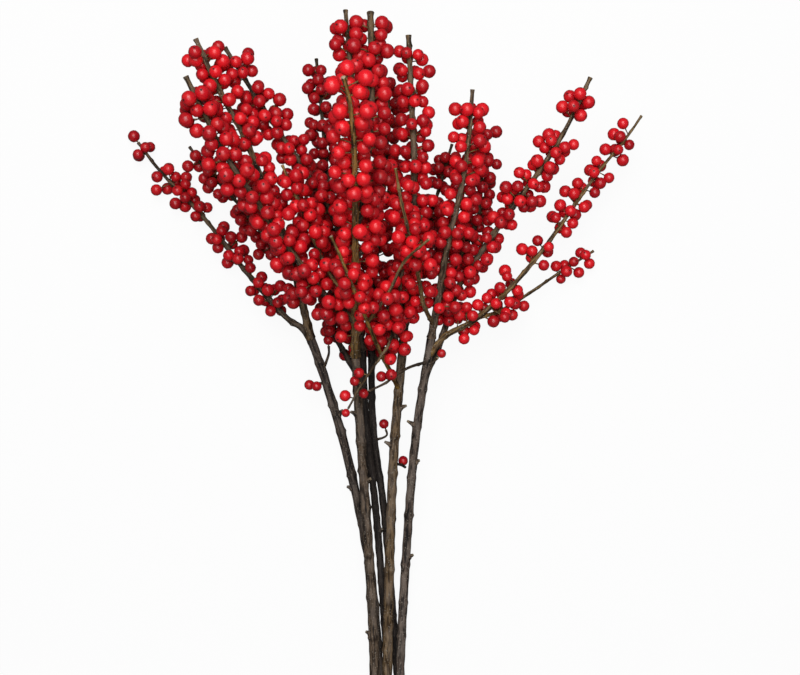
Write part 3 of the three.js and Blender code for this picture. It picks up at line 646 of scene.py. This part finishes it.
def wood_patch(wood, sides, seed):
    """The bark of a wood: rings about its line, out by the radius plus the relief, closed at both
    ends by cut faces. grain holds the place on the bark as if unrolled straight: cosine and sine
    of the angle times the radius, and the run, in metres."""
    count = max(FEWEST_RINGS, int(wood.length / RING_STEP))
    run, turns = np.linspace(0, wood.length, count), round_angles(sides)
    distance, angle = np.meshgrid(run, turns, indexing="ij")
    along, level, up = wood.directions(run)
    radius = wood.radius(distance) + relief(wood, distance, angle, seed)
    if "on" in wood.row:
        radius = radius + wood.root_radius * COLLAR[0] * np.exp(-distance / COLLAR[1])
        to_tip = wood.length - distance
        radius = radius + wood.tip_radius * TIP_SWELL[0] * np.exp(-(to_tip / TIP_SWELL[1])**2)
    line = wood.at(run)
    rings = line[:, None] + spokes(level, up, turns) * radius[..., None]
    first = [line[0] + (rings[0] - line[0]) * s - along[0] * CAP_ROUND for s in CAP_SHARES[:0:-1]]
    last = [line[-1] + (rings[-1] - line[-1]) * s + along[-1] * CAP_ROUND for s in CAP_SHARES[1:]]
    whole = np.concatenate([first, rings, last])
    pad = len(CAP_SHARES) - 1
    runs = np.concatenate([np.zeros(pad), run, np.full(pad, wood.length)])
    scale = np.concatenate([CAP_SHARES[:0:-1], np.ones(count), CAP_SHARES[1:]])
    spread = wood.radius(runs)[:, None] * scale[:, None]
    grain = np.stack([spread * np.cos(turns), spread * np.sin(turns),
                      np.repeat(runs[:, None], sides, 1)], -1)
    cut = np.zeros(whole.shape[:2])
    cut[:pad] = cut[-pad:] = 1
    share = np.repeat((runs / wood.length)[:, None], sides, 1)
    root_young, tip_young = wood.row["young"]
    young = root_young + (tip_young - root_young) * share
    # Painted shade: how far this wood's bark is deepened for the shade that it lay in.
    dark = np.full(whole.shape[:2], float(wood.row["dark"]))
    ends = np.array([0.0, wood.length])
    poles = np.stack([line[0] - along[0] * CAP_ROUND, line[-1] + along[-1] * CAP_ROUND])
    pole_grain = np.stack([np.zeros(2), np.zeros(2), ends], -1)
    shift = np.array([draw(seed, 1), draw(seed, 2), draw(seed, 3)]) * GRAIN_SHIFT
    return tube(whole, poles, grain=((grain + shift) * MM, (pole_grain + shift) * MM),
                cut=(cut, np.ones(2)), young=(young, np.array(wood.row["young"], float)),
                dark=(dark, np.full(2, float(wood.row["dark"]))))


def rod_patch(points, radii, sides, young, dark, cut_tip):
    """A thin bent rod through a few points: rings square to the way the points run."""
    points = np.array(points, float)
    along = unit(np.gradient(points, axis=0))
    level = unit(np.cross(along, ASKEW))
    out = spokes(level, np.cross(along, level), round_angles(sides))
    rings = points[:, None] + out * np.array(radii)[:, None, None]
    shape = rings.shape[:2]
    cut = np.zeros(shape)
    cut[-1] = cut_tip
    return tube(rings, points[[0, -1]], grain=(rings * MM, points[[0, -1]] * MM),
                cut=(cut, np.array([0.0, cut_tip])),
                young=(np.full(shape, young), np.full(2, young)),
                # Painted shade on the rod's bark, as the caller gives it.
                dark=(np.full(shape, dark), np.full(2, dark)))


def snag_patch(wood, snag):
    """The stub of a broken side twig: a broad foot that runs up the stem and narrows outwards."""
    distance, angle, height = snag
    distance, angle = float(distance), math.radians(angle)
    along, level, up = wood.directions(distance)
    out = level * math.cos(angle) + up * math.sin(angle)
    start = wood.radius(distance) * SNAG_START
    foot = wood.at(distance)
    lean = unit(out + along * SNAG_LEAN)
    shares, radii = zip(*SNAG_PROFILE)
    points = [foot - along * start] + [foot + lean * (start + height * share)
                                       for share in shares[1:]]
    # A snag takes the painted shade of its stem.
    return rod_patch(points, radii, SNAG_SIDES, SNAG_YOUNG, wood.row["dark"], SNAG_CUT)


STALK_RADIUS = (0.55, 0.42, 0.6)  # mm at the bark, half way, and at the berry
STALK_END = 0.93  # where it ends inside the berry, as a share of the berry's radius
STALK_YOUNG, STALK_PAINTED_SHADE = 0.7, 0.25  # how young its bark is, and how much painted shade it takes


def stalk_patches(berries):
    """A short stalk from the middle of the twig to just inside every berry."""
    patches = []
    for root, centre, size, _ in berries:
        inner = centre - unit(centre - root) * size * STALK_END
        patches.append(rod_patch([root, (root + inner) / 2, inner], STALK_RADIUS, STALK_SIDES,
                                 STALK_YOUNG, STALK_PAINTED_SHADE, 0.0))
    return patches


# ---------------------------------------------------------------- berries
BERRY_SIDES = 12
BERRY_RINGS = (10, 38, 66, 94, 122, 150, 168)  # degrees from the stalk's end
BERRY_TILT = 0.55  # how far chance tips a berry off its stalk
BERRY_SQUASH = 0.05  # a berry is this much shorter than it is wide, at most
TIP_DENT = 0.035  # depth of the dent round the dry tip, as a share of the radius
DENT_WIDTH = 0.35  # its half width, in radians
PAINTED_LIGHT_AND_SHADE = 0.35  # painted light and shade: how much brighter the berries of front branches are, and how much deeper those of shaded ones


def berries_patch(berries, seed, dark):
    """All berries of a branch at once. A berry is a sphere, a little shorter than wide, with a
    shallow dent at its far end: radius times 1 minus the dent's bell curve. tip runs from 0 at the
    stalk to 1 at the dry tip. The berry's colour mark holds one draw for each berry, its own place
    between crimson and scarlet, with painted shade laid over it by the branch: lower on branches
    that lay in shade, and raised as painted light on front branches. A berry at the frame's box is
    moved just inside it."""
    roots, centres = (np.array([berry[i] for berry in berries]) for i in (0, 1))
    sizes = np.array([berry[2] for berry in berries])
    room = np.array([[1, 1, 0], [1, 1, 1]])[:, None] * sizes[:, None]
    centres = np.clip(centres, LOWEST / MM + room[0], HIGHEST / MM - room[1])
    count = len(berries)
    index = np.arange(count)
    chance = [draw(seed, index + BERRY_DRAWS * kind) for kind in range(5)]
    tilt = np.stack(chance[:3], -1) - 0.5
    axis = unit(unit(centres - roots) + 2 * BERRY_TILT * tilt)
    first = unit(np.cross(axis, ASKEW))
    second = np.cross(axis, first)
    angle = round_angles(BERRY_SIDES)
    polar = np.radians(BERRY_RINGS)[:, None]
    dent = 1 - TIP_DENT * np.exp(-((np.pi - polar) / DENT_WIDTH)**2)
    wide, far = np.sin(polar) * dent, np.repeat(-np.cos(polar) * dent, BERRY_SIDES, 1)
    unit_rings = np.stack([wide * np.cos(angle), wide * np.sin(angle), far], -1)
    unit_poles = np.array([[0, 0, -1.0], [0, 0, 1 - TIP_DENT]])
    squash = 1 - BERRY_SQUASH * chance[3]
    rings, poles = (
        sizes[:, None, None] * np.einsum(
            "pk,nkx->npx", shape.reshape(-1, 3),
            np.stack([first, second, axis * squash[:, None]], 1)) + centres[:, None]
        for shape in (unit_rings, unit_poles))
    tip = np.repeat(np.array(BERRY_RINGS) / 180, BERRY_SIDES)
    quads, fans = tube_faces(len(BERRY_RINGS), BERRY_SIDES)
    per_berry = len(tip) + 2
    shifts = (index * per_berry)[:, None, None]
    return {
        "points": np.concatenate([rings, poles], 1).reshape(-1, 3),
        "quads": (quads[None] + shifts).reshape(-1, 4),
        "fans": (fans[None] + shifts).reshape(-1, 3),
        "tip": np.tile(np.concatenate([tip, [0, 1]]), count),
        # Each berry's own draw, deepened as painted shade on shaded branches and brightened as
        # painted light on front ones.
        "tone_and_painted_shade": np.repeat(chance[4] * (1 - dark) + PAINTED_LIGHT_AND_SHADE * (0.5 - dark), per_berry),
    }


# ---------------------------------------------------------------- node trees
SHARE, FIRST, SECOND, RESULT = 0, 6, 7, 2  # sockets of a Mix node of colours
COARSE_DETAIL, FINE_DETAIL, SLOW_DETAIL = 5.0, 3.0, 4.0  # of the noises in grain and blotches
COARSE_ROUGHNESS = 0.6
FINER = 2.7  # the fine grain's fineness over the coarse grain's
FINE_HEIGHT = 0.5  # the fine grain's height over the coarse grain's
STREAK_EDGE = (0.4, 0.6)  # where a streak begins and is full
SPOT_EDGE = 1.6  # where a spot ends, over its size


def add_node(tree, kind, inputs=(), **settings):
    """A new node, with its settings and its input sockets filled by values or by sockets."""
    made = tree.nodes.new(kind)
    for name, value in settings.items():
        setattr(made, name, value)
    for name, value in dict(inputs).items():
        if isinstance(value, bpy.types.NodeSocket):
            tree.links.new(value, made.inputs[name])
        else:
            made.inputs[name].default_value = value
    return made


def mix(tree, share, first, second):
    """first blended with second by share, as colours."""
    inputs = {SHARE: share, FIRST: first, SECOND: second}
    return add_node(tree, "ShaderNodeMix", inputs, data_type="RGBA").outputs[RESULT]


def between(tree, value, low, high, lowest=0.0, highest=1.0):
    """value moved smoothly from the range low to high into the range lowest to highest."""
    inputs = {"Value": value, "From Min": low, "From Max": high, "To Min": lowest,
              "To Max": highest}
    made = add_node(tree, "ShaderNodeMapRange", inputs, interpolation_type="SMOOTHSTEP")
    return made.outputs["Result"]


def calculate(tree, operation, first, second):
    """One step of arithmetic on two values."""
    made = add_node(tree, "ShaderNodeMath", {0: first, 1: second}, operation=operation)
    return made.outputs["Value"]


def new_group(name, inputs, outputs):
    """An empty shader node group with named inputs, their defaults, and named outputs."""
    tree = bpy.data.node_groups.new(name, "ShaderNodeTree")
    for label, kind, default in inputs:
        socket = tree.interface.new_socket(label, in_out="INPUT", socket_type=kind)
        if default is not None:
            socket.default_value = default
    for label in outputs:
        tree.interface.new_socket(label, in_out="OUTPUT", socket_type="NodeSocketFloat")
    return tree, tree.nodes.new("NodeGroupInput"), tree.nodes.new("NodeGroupOutput")


def stretched(tree, given):
    """The place that a group is given, drawn out along its axes by the group's Stretch."""
    return add_node(tree, "ShaderNodeMapping", {
        "Vector": given.outputs["Place"], "Scale": given.outputs["Stretch"]}).outputs["Vector"]


def noise(tree, place, fineness, detail, roughness=0.5):
    """The grey value of a cloudy noise at a place."""
    return add_node(tree, "ShaderNodeTexNoise", {
        "Vector": place, "Scale": fineness, "Detail": detail,
        "Roughness": roughness}).outputs["Fac"]


def grain_group():
    """Lengthwise streaks: noise stretched along the third axis, at two sizes."""
    tree, given, result = new_group("Lengthwise grain", (
        ("Place", "NodeSocketVector", None), ("Fineness", "NodeSocketFloat", 900.0),
        ("Stretch", "NodeSocketVector", (1.0, 1.0, 0.16))), ("Streaks", "Height"))
    place = stretched(tree, given)
    coarse = noise(tree, place, given.outputs["Fineness"], COARSE_DETAIL, COARSE_ROUGHNESS)
    finer = calculate(tree, "MULTIPLY", given.outputs["Fineness"], FINER)
    fine = calculate(tree, "MULTIPLY", noise(tree, place, finer, FINE_DETAIL), FINE_HEIGHT)
    tree.links.new(between(tree, coarse, *STREAK_EDGE), result.inputs["Streaks"])
    tree.links.new(calculate(tree, "ADD", coarse, fine), result.inputs["Height"])
    return tree


def spots_group():
    """Round spots: the cells of a random scatter nearer to their seed than a given share."""
    tree, given, result = new_group("Scattered spots", (
        ("Place", "NodeSocketVector", None), ("Fineness", "NodeSocketFloat", 400.0),
        ("Stretch", "NodeSocketVector", (1.0, 1.0, 1.0)), ("Size", "NodeSocketFloat", 0.2)),
        ("Spots",))
    cells = add_node(tree, "ShaderNodeTexVoronoi", {
        "Vector": stretched(tree, given),
        "Scale": given.outputs["Fineness"]}).outputs["Distance"]
    edge = calculate(tree, "MULTIPLY", given.outputs["Size"], SPOT_EDGE)
    spots = between(tree, cells, given.outputs["Size"], edge, 1.0, 0.0)
    tree.links.new(spots, result.inputs["Spots"])
    return tree


def blotches_group():
    """Soft blotches of a few millimetres, where a slow noise rises over a level."""
    tree, given, result = new_group("Blotches", (
        ("Place", "NodeSocketVector", None), ("Fineness", "NodeSocketFloat", 90.0),
        ("Stretch", "NodeSocketVector", (1.0, 1.0, 1.0)), ("Level", "NodeSocketFloat", 0.5),
        ("Softness", "NodeSocketFloat", 0.14)), ("Mask",))
    slow = noise(tree, stretched(tree, given), given.outputs["Fineness"], SLOW_DETAIL)
    top = calculate(tree, "ADD", given.outputs["Level"], given.outputs["Softness"])
    mask = between(tree, slow, given.outputs["Level"], top)
    tree.links.new(mask, result.inputs["Mask"])
    return tree


GROUP_MAKERS = {"Lengthwise grain": grain_group, "Scattered spots": spots_group,
                "Blotches": blotches_group}


def use_group(tree, name, inputs):
    """The named effect placed in a material with its own values. It is built once."""
    group = bpy.data.node_groups.get(name) or GROUP_MAKERS[name]()
    return add_node(tree, "ShaderNodeGroup", inputs, node_tree=group).outputs


def mark(tree, name, output="Fac"):
    """What a mesh's own mark holds at the shaded point."""
    return add_node(tree, "ShaderNodeAttribute", attribute_name=name).outputs[output]


def new_material(name):
    """An empty material with its tree and its one shader."""
    made = bpy.data.materials.new(name)
    made.use_nodes = True
    made.node_tree.nodes.clear()
    shader = made.node_tree.nodes.new("ShaderNodeBsdfPrincipled")
    output = made.node_tree.nodes.new("ShaderNodeOutputMaterial")
    made.node_tree.links.new(shader.outputs["BSDF"], output.inputs["Surface"])
    return made, made.node_tree, shader


def opaque(colour):
    """A colour with its alpha."""
    return (*colour, 1.0)


def lay_over(tree, colour, mask, share, over):
    """A plain colour laid over another as far as a mask says, and at most by share."""
    return mix(tree, calculate(tree, "MULTIPLY", mask, share), colour, opaque(over))


def emboss(tree, shader, height, strength, depth):
    """Shades the surface as if the grey height raised it by up to depth."""
    bump = add_node(tree, "ShaderNodeBump", {
        "Height": height, "Strength": strength, "Distance": depth})
    tree.links.new(bump.outputs["Normal"], shader.inputs["Normal"])


# How strongly each effect shows, in the bark and then in the skin. The bark's fourth is the painted
# shade laid over stems and twigs that lay in shade.
PALE_SHARE, STAIN_SHARE, LENTICEL_SHARE, PAINTED_SHADE_SHARE = 0.5, 0.8, 0.6, 0.9
FLUSH_SHARE, FRECKLE_SHARE, RING_SHARE = 0.35, 0.12, 0.45
GRAIN_HEIGHT = (0.4, 1.1)  # of the grooves and the ridges, as the grain puts it out
BARK_ROUGHNESS = (0.85, 0.6)  # in its grooves and on its ridges
LENTICEL_HEIGHT = 0.5  # over the grain's
BARK_EMBOSS, SKIN_EMBOSS = 0.7, 0.25  # how strongly the relief is shaded
SKIN_RELIEF = 0.15
SKIN_ROUGHNESS = (0.27, 0.36)
DRY_ROUGHNESS = 0.4  # what the dry tip adds to the skin's roughness
DRY_DEPTH = 2.0  # of the dry tip, over the skin's mottling
TIP_RING = (0.86, 0.93)  # where the ring round the dry tip begins and is full
DRY_EDGE = 0.02  # share from stalk to tip over which the dry tip begins


@functools.cache
def bark_material():
    """Grey-brown bark with near-black lengthwise streaks in the low grooves of its relief, partly
    its own streaks and partly painted shade, with blotches and pale lenticels, which runs into
    golden brown where it is young and into near black as painted shade on the stems and twigs that
    lay in shade. Cut faces are pale wood."""
    sizes = bpy.context.scene.winterberry_bark
    made, tree, shader = new_material("holly_bark")
    place = mark(tree, "grain", "Vector")
    grain = use_group(tree, "Lengthwise grain", {"Place": place, "Fineness": 700.0})
    blotches = use_group(tree, "Blotches", {"Place": place, "Fineness": 150.0,
                                            "Stretch": (1.0, 1.0, 0.35), "Level": 0.47})
    stains = use_group(tree, "Blotches", {"Place": place, "Fineness": 330.0, "Level": 0.52,
                                          "Stretch": (1.0, 1.0, 0.12), "Softness": 0.12})
    lenticels = use_group(tree, "Scattered spots", {
        "Place": place, "Fineness": 560.0, "Stretch": (0.8, 0.8, 1.0), "Size": 0.17})
    # The low grooves of the relief get the near-black groove colour: partly the bark's own streaks,
    # partly painted shade.
    old = mix(tree, grain["Streaks"], opaque(sizes.groove), opaque(sizes.ridge))
    old = mix(tree, blotches["Mask"], old, mix(tree, PALE_SHARE, old, opaque(sizes.pale_patch)))
    young = mix(tree, grain["Streaks"], opaque(sizes.young_groove), opaque(sizes.young_ridge))
    colour = mix(tree, mark(tree, "young"), old, young)
    colour = lay_over(tree, colour, stains["Mask"], STAIN_SHARE, sizes.stain)
    colour = lay_over(tree, colour, lenticels["Spots"], LENTICEL_SHARE, sizes.lenticel)
    # Painted shade: near black laid over the stems, twigs and stalks that lay in shade.
    colour = lay_over(tree, colour, mark(tree, "dark"), PAINTED_SHADE_SHARE, sizes.shaded)
    cut_face = mix(tree, blotches["Mask"], opaque(sizes.cut_wood), opaque(sizes.cut_weathered))
    colour = mix(tree, mark(tree, "cut"), colour, cut_face)
    tree.links.new(colour, shader.inputs["Base Color"])
    rough = between(tree, grain["Height"], *GRAIN_HEIGHT, *BARK_ROUGHNESS)
    tree.links.new(rough, shader.inputs["Roughness"])
    height = calculate(tree, "ADD", grain["Height"],
                       calculate(tree, "MULTIPLY", lenticels["Spots"], LENTICEL_HEIGHT))
    emboss(tree, shader, height, BARK_EMBOSS, sizes.relief)
    shader.inputs["Specular IOR Level"].default_value = 0.3
    return made


@functools.cache
def berry_material():
    """Satin red skin, from crimson to bright red by a draw for each berry, with painted shade on
    top that makes the berries of shaded branches deeper and painted light that makes front ones
    brighter. It is faintly mottled and freckled, with a near-black, dull, dry tip in a crimson
    ring."""
    sizes = bpy.context.scene.winterberry_berries
    made, tree, shader = new_material("winterberry_skin")
    place = add_node(tree, "ShaderNodeTexCoord").outputs["Object"]
    mottle = use_group(tree, "Blotches", {"Place": place, "Fineness": 260.0, "Level": 0.42,
                                          "Softness": 0.3})
    freckles = use_group(tree, "Scattered spots", {"Place": place, "Fineness": 900.0,
                                                   "Size": 0.12})
    # The mark carries each berry's own draw plus the painted shade and painted light of its branch.
    ripeness_and_painted_shade = between(tree, mark(tree, "tone_and_painted_shade"), 0.0, 1.0)
    colour = mix(tree, ripeness_and_painted_shade, opaque(sizes.crimson), opaque(sizes.scarlet))
    colour = lay_over(tree, colour, mottle["Mask"], FLUSH_SHARE, sizes.flush)
    colour = lay_over(tree, colour, freckles["Spots"], FRECKLE_SHARE, sizes.flush)
    tip = mark(tree, "tip")
    colour = lay_over(tree, colour, between(tree, tip, *TIP_RING), RING_SHARE, sizes.crimson)
    dry = between(tree, tip, sizes.dry_tip, sizes.dry_tip + DRY_EDGE)
    colour = mix(tree, dry, colour, opaque(sizes.dry))
    tree.links.new(colour, shader.inputs["Base Color"])
    rough = between(tree, mottle["Mask"], 0.0, 1.0, *SKIN_ROUGHNESS)
    dull = calculate(tree, "MULTIPLY", dry, DRY_ROUGHNESS)
    tree.links.new(calculate(tree, "ADD", rough, dull), shader.inputs["Roughness"])
    height = calculate(tree, "SUBTRACT", mottle["Mask"],
                       calculate(tree, "MULTIPLY", dry, DRY_DEPTH))
    emboss(tree, shader, height, SKIN_EMBOSS, SKIN_RELIEF * MM)
    shader.inputs["Specular IOR Level"].default_value = 0.5
    shader.inputs["Subsurface Weight"].default_value = sizes.translucence
    shader.inputs["Subsurface Radius"].default_value = (1.0, 0.15, 0.1)
    shader.inputs["Subsurface Scale"].default_value = 1.2 * MM
    return made


# ---------------------------------------------------------------- what a user may change
def linear(code):
    """A six-figure hexadecimal screen colour as linear red, green and blue."""
    channels = [(code >> shift & 255) / 255 for shift in (16, 8, 0)]
    return tuple(c / 12.92 if c <= 0.04045 else ((c + 0.055) / 1.055)**2.4 for c in channels)


def colour_of(name, description, code):
    """A colour that a user may change."""
    return FloatVectorProperty(name=name, description=description, subtype="COLOR", size=3,
                               min=0, max=1, default=linear(code))


def length_of(name, description, metres):
    """A length that a user may change."""
    return FloatProperty(name=name, description=description, default=metres, min=0,
                         unit="LENGTH", subtype="DISTANCE", precision=5)


def number_of(name, description, value):
    """A plain number that a user may change."""
    return FloatProperty(name=name, description=description, default=value, min=0)


class WinterberryBark(bpy.types.PropertyGroup):
    """Colours and relief of the bark."""

    ridge: colour_of("Ridge", "Old bark on its ridges", 0x64564C)
    # The groove colour is partly the bark's own streaks and partly painted shade in the low grooves
    # of the relief.
    groove: colour_of("Groove", "Old bark in its grooves", 0x17110F)
    pale_patch: colour_of("Pale patch", "Weathered patches of old bark", 0x86796F)
    young_ridge: colour_of("Young ridge", "Young golden bark on its ridges", 0xA47F3A)
    young_groove: colour_of("Young groove", "Young golden bark in its grooves", 0x5E431C)
    stain: colour_of("Stain", "Dark stains on the bark", 0x0D0908)
    lenticel: colour_of("Lenticel", "Pale breathing pores of the bark", 0x9C9284)
    # Painted shade: the near black laid over the bark of stems, twigs and stalks that lay in shade.
    shaded: colour_of("Dark bark", "Bark of the dark stems and twigs", 0x120D0C)
    cut_wood: colour_of("Cut wood", "Fresh wood in a cut end", 0xB9A688)
    cut_weathered: colour_of("Weathered cut", "Greyed wood in a cut end", 0x8B857C)
    relief: length_of("Relief", "Depth of the fine bark grain", 0.35 * MM)


class WinterberryBerries(bpy.types.PropertyGroup):
    """Colours and finish of the berries."""

    scarlet: colour_of("Scarlet", "The brightest berries", 0xEA1B27)
    crimson: colour_of("Crimson", "The deepest berries", 0xA80F1B)
    flush: colour_of("Flush", "Mottling of the skin", 0xF0342F)
    dry: colour_of("Dry tip", "Dry remains of the flower", 0x2B0A0A)
    dry_tip: number_of("Dry tip reach", "Share from stalk to tip where the dry tip begins", 0.945)
    translucence: number_of("Translucence", "How far light goes through the skin", 0.12)


class WinterberryStage(bpy.types.PropertyGroup):
    """Camera, light and floor."""

    camera_x: length_of("Camera X", "Camera's place to the right of the middle", 13 * MM)
    camera_y: length_of("Camera Y", "Camera's place towards the crown", 59 * MM)
    camera_height: length_of("Camera height", "Height of the camera over the floor", 950 * MM)
    plane_height: length_of("Measured height", "Height at which the view's width is given",
                            100 * MM)
    view_width: length_of("View width", "Width seen at the measured height", 560 * MM)
    floor_side: length_of("Floor side", "Side of the square floor", 6.0)
    floor_glow: number_of("Floor glow", "Light that the pale floor gives of itself", 0.93)
    floor_bounce: number_of("Floor bounce", "Part of the floor's glow that lights the bunch", 0.04)
    sky: number_of("Sky", "Strength of the even light from all round", 0.11)
    key: number_of("Key light", "Watts of the large light over the crown", 9.8)
    fill: number_of("Fill light", "Watts of the wide light over the middle", 9.8)


# ---------------------------------------------------------------- operators
class WINTERBERRY_OT_stems(bpy.types.Operator):
    """Build the six bare stems with their bark, snags and cut ends"""

    bl_idname = "winterberry.stems"
    bl_label = "Bare Stems"

    def execute(self, context):
        for order, row in enumerate(STEMS):
            wood = all_woods()[row["name"]]
            patches = [wood_patch(wood, STEM_SIDES, STEM_SEED + order)]
            patches += [snag_patch(wood, snag) for snag in row["snags"]]
            add_piece(row["name"] + "_bark", join(patches), bark_material(), row["name"])
        return {"FINISHED"}


class WINTERBERRY_OT_twigs(bpy.types.Operator):
    """Build the wood of every fruiting branch, with the stalks of its berries"""

    bl_idname = "winterberry.twigs"
    bl_label = "Twigs and Stalks"

    def execute(self, context):
        for order, row in enumerate(BRANCHES):
            patches = [wood_patch(all_woods()[row["name"]], TWIG_SIDES, TWIG_SEED + order)]
            patches += stalk_patches(all_berries()[row["name"]])
            add_piece(row["name"] + "_wood", join(patches), bark_material(), row["name"])
        return {"FINISHED"}


class WINTERBERRY_OT_berries(bpy.types.Operator):
    """Build the berries of every fruiting branch"""

    bl_idname = "winterberry.berries"
    bl_label = "Berries"

    def execute(self, context):
        for order, row in enumerate(BRANCHES):
            seed = BERRY_SEED + BERRY_SEED_STEP * order
            patch = berries_patch(all_berries()[row["name"]], seed, row["dark"])
            add_piece(row["name"] + "_berries", patch, berry_material(), row["name"])
        return {"FINISHED"}


# Soft square lights: side, place and target, in metres.
KEY_LIGHT = (0.8, (-0.1, 0.62, 1.25), (0, 0.1, 0.05))
FILL_LIGHT = (1.1, (0.1, 0.05, 1.5), (0, 0.12, 0.1))
FLOOR_GREY = 0.06  # how much of the light that falls on it the floor sends back


def floor_material(glow, bounce):
    """A pale floor that is mostly its own even glow, so that shadows on it stay faint. The glow
    that it sends up at the bunch is weaker than the one that is seen."""
    made, tree, shader = new_material("pale_floor")
    seen = tree.nodes.new("ShaderNodeLightPath").outputs["Is Camera Ray"]
    strength = between(tree, seen, 0.0, 1.0, bounce, glow)
    tree.links.new(strength, shader.inputs["Emission Strength"])
    shader.inputs["Base Color"].default_value = opaque([FLOOR_GREY] * 3)
    shader.inputs["Roughness"].default_value = 0.9
    shader.inputs["Specular IOR Level"].default_value = 0.0
    shader.inputs["Emission Color"].default_value = (1.0, 1.0, 1.0, 1.0)
    return made


def add_floor(side, glow, bounce):
    """A square floor at z = 0, just under the bunch."""
    half = side / 2
    mesh = bpy.data.meshes.new("floor")
    corners = [(-half, -half, 0), (half, -half, 0), (half, half, 0), (-half, half, 0)]
    mesh.from_pydata(corners, [], [(0, 1, 2, 3)])
    mesh.materials.append(floor_material(glow, bounce))
    floor = bpy.data.objects.new("floor", mesh)
    bpy.context.scene.collection.objects.link(floor)


def add_light(name, watts, size, place, target):
    """A square soft light at a place, turned to a target."""
    data = bpy.data.lights.new(name, "AREA")
    data.energy, data.size = watts, size
    light = bpy.data.objects.new(name, data)
    bpy.context.scene.collection.objects.link(light)
    light.location = place
    way = Vector(target) - light.location
    light.rotation_euler = way.to_track_quat("-Z", "Y").to_euler()


def add_camera(sizes):
    """A camera that looks straight down. Its lens shows the view's width at the measured height."""
    data = bpy.data.cameras.new("camera")
    distance = sizes.camera_height - sizes.plane_height
    data.lens = data.sensor_width * distance / sizes.view_width
    camera = bpy.data.objects.new("camera", data)
    camera.location = (sizes.camera_x, sizes.camera_y, sizes.camera_height)
    bpy.context.scene.collection.objects.link(camera)
    bpy.context.scene.camera = camera


class WINTERBERRY_OT_stage(bpy.types.Operator):
    """Set up the pale floor, the soft lights and the camera"""

    bl_idname = "winterberry.stage"
    bl_label = "Stage"

    def execute(self, context):
        sizes = context.scene.winterberry_stage
        add_floor(sizes.floor_side, sizes.floor_glow, sizes.floor_bounce)
        add_light("key_light", sizes.key, *KEY_LIGHT)
        add_light("fill_light", sizes.fill, *FILL_LIGHT)
        world = bpy.data.worlds.new("soft_studio")
        world.use_nodes = True
        sky = world.node_tree.nodes["Background"].inputs
        sky["Color"].default_value = (1, 1, 1, 1)
        sky["Strength"].default_value = sizes.sky
        context.scene.world = world
        context.scene.view_settings.view_transform = "Standard"
        add_camera(sizes)
        return {"FINISHED"}


class WINTERBERRY_PT_panel(bpy.types.Panel):
    """The parts of the bunch and their sizes"""

    bl_idname = "WINTERBERRY_PT_panel"
    bl_label = "Winterberry Bunch"
    bl_space_type = "VIEW_3D"
    bl_region_type = "UI"
    bl_category = "Winterberry"

    def draw(self, context):
        for step in STEPS:
            self.layout.operator(step.bl_idname)
        for name, group in SETTINGS.items():
            box = self.layout.box()
            box.label(text=group.__doc__)
            for label in group.__annotations__:
                box.prop(getattr(context.scene, name), label)


STEPS = (WINTERBERRY_OT_stems, WINTERBERRY_OT_twigs, WINTERBERRY_OT_berries, WINTERBERRY_OT_stage)
SETTINGS = {"winterberry_bark": WinterberryBark, "winterberry_berries": WinterberryBerries,
            "winterberry_stage": WinterberryStage}
CLASSES = (*SETTINGS.values(), *STEPS, WINTERBERRY_PT_panel)


def register():
    """Makes the classes known and gives every scene its settings."""
    for cls in CLASSES:
        bpy.utils.register_class(cls)
    for name, group in SETTINGS.items():
        setattr(bpy.types.Scene, name, PointerProperty(type=group))


def unregister():
    """Takes the settings and the classes away again."""
    for name in SETTINGS:
        delattr(bpy.types.Scene, name)
    for cls in reversed(CLASSES):
        bpy.utils.unregister_class(cls)


def main():
    register()
    bpy.ops.winterberry.stems()
    bpy.ops.winterberry.twigs()
    bpy.ops.winterberry.berries()
    bpy.ops.winterberry.stage()


if __name__ == "__main__":
    main()
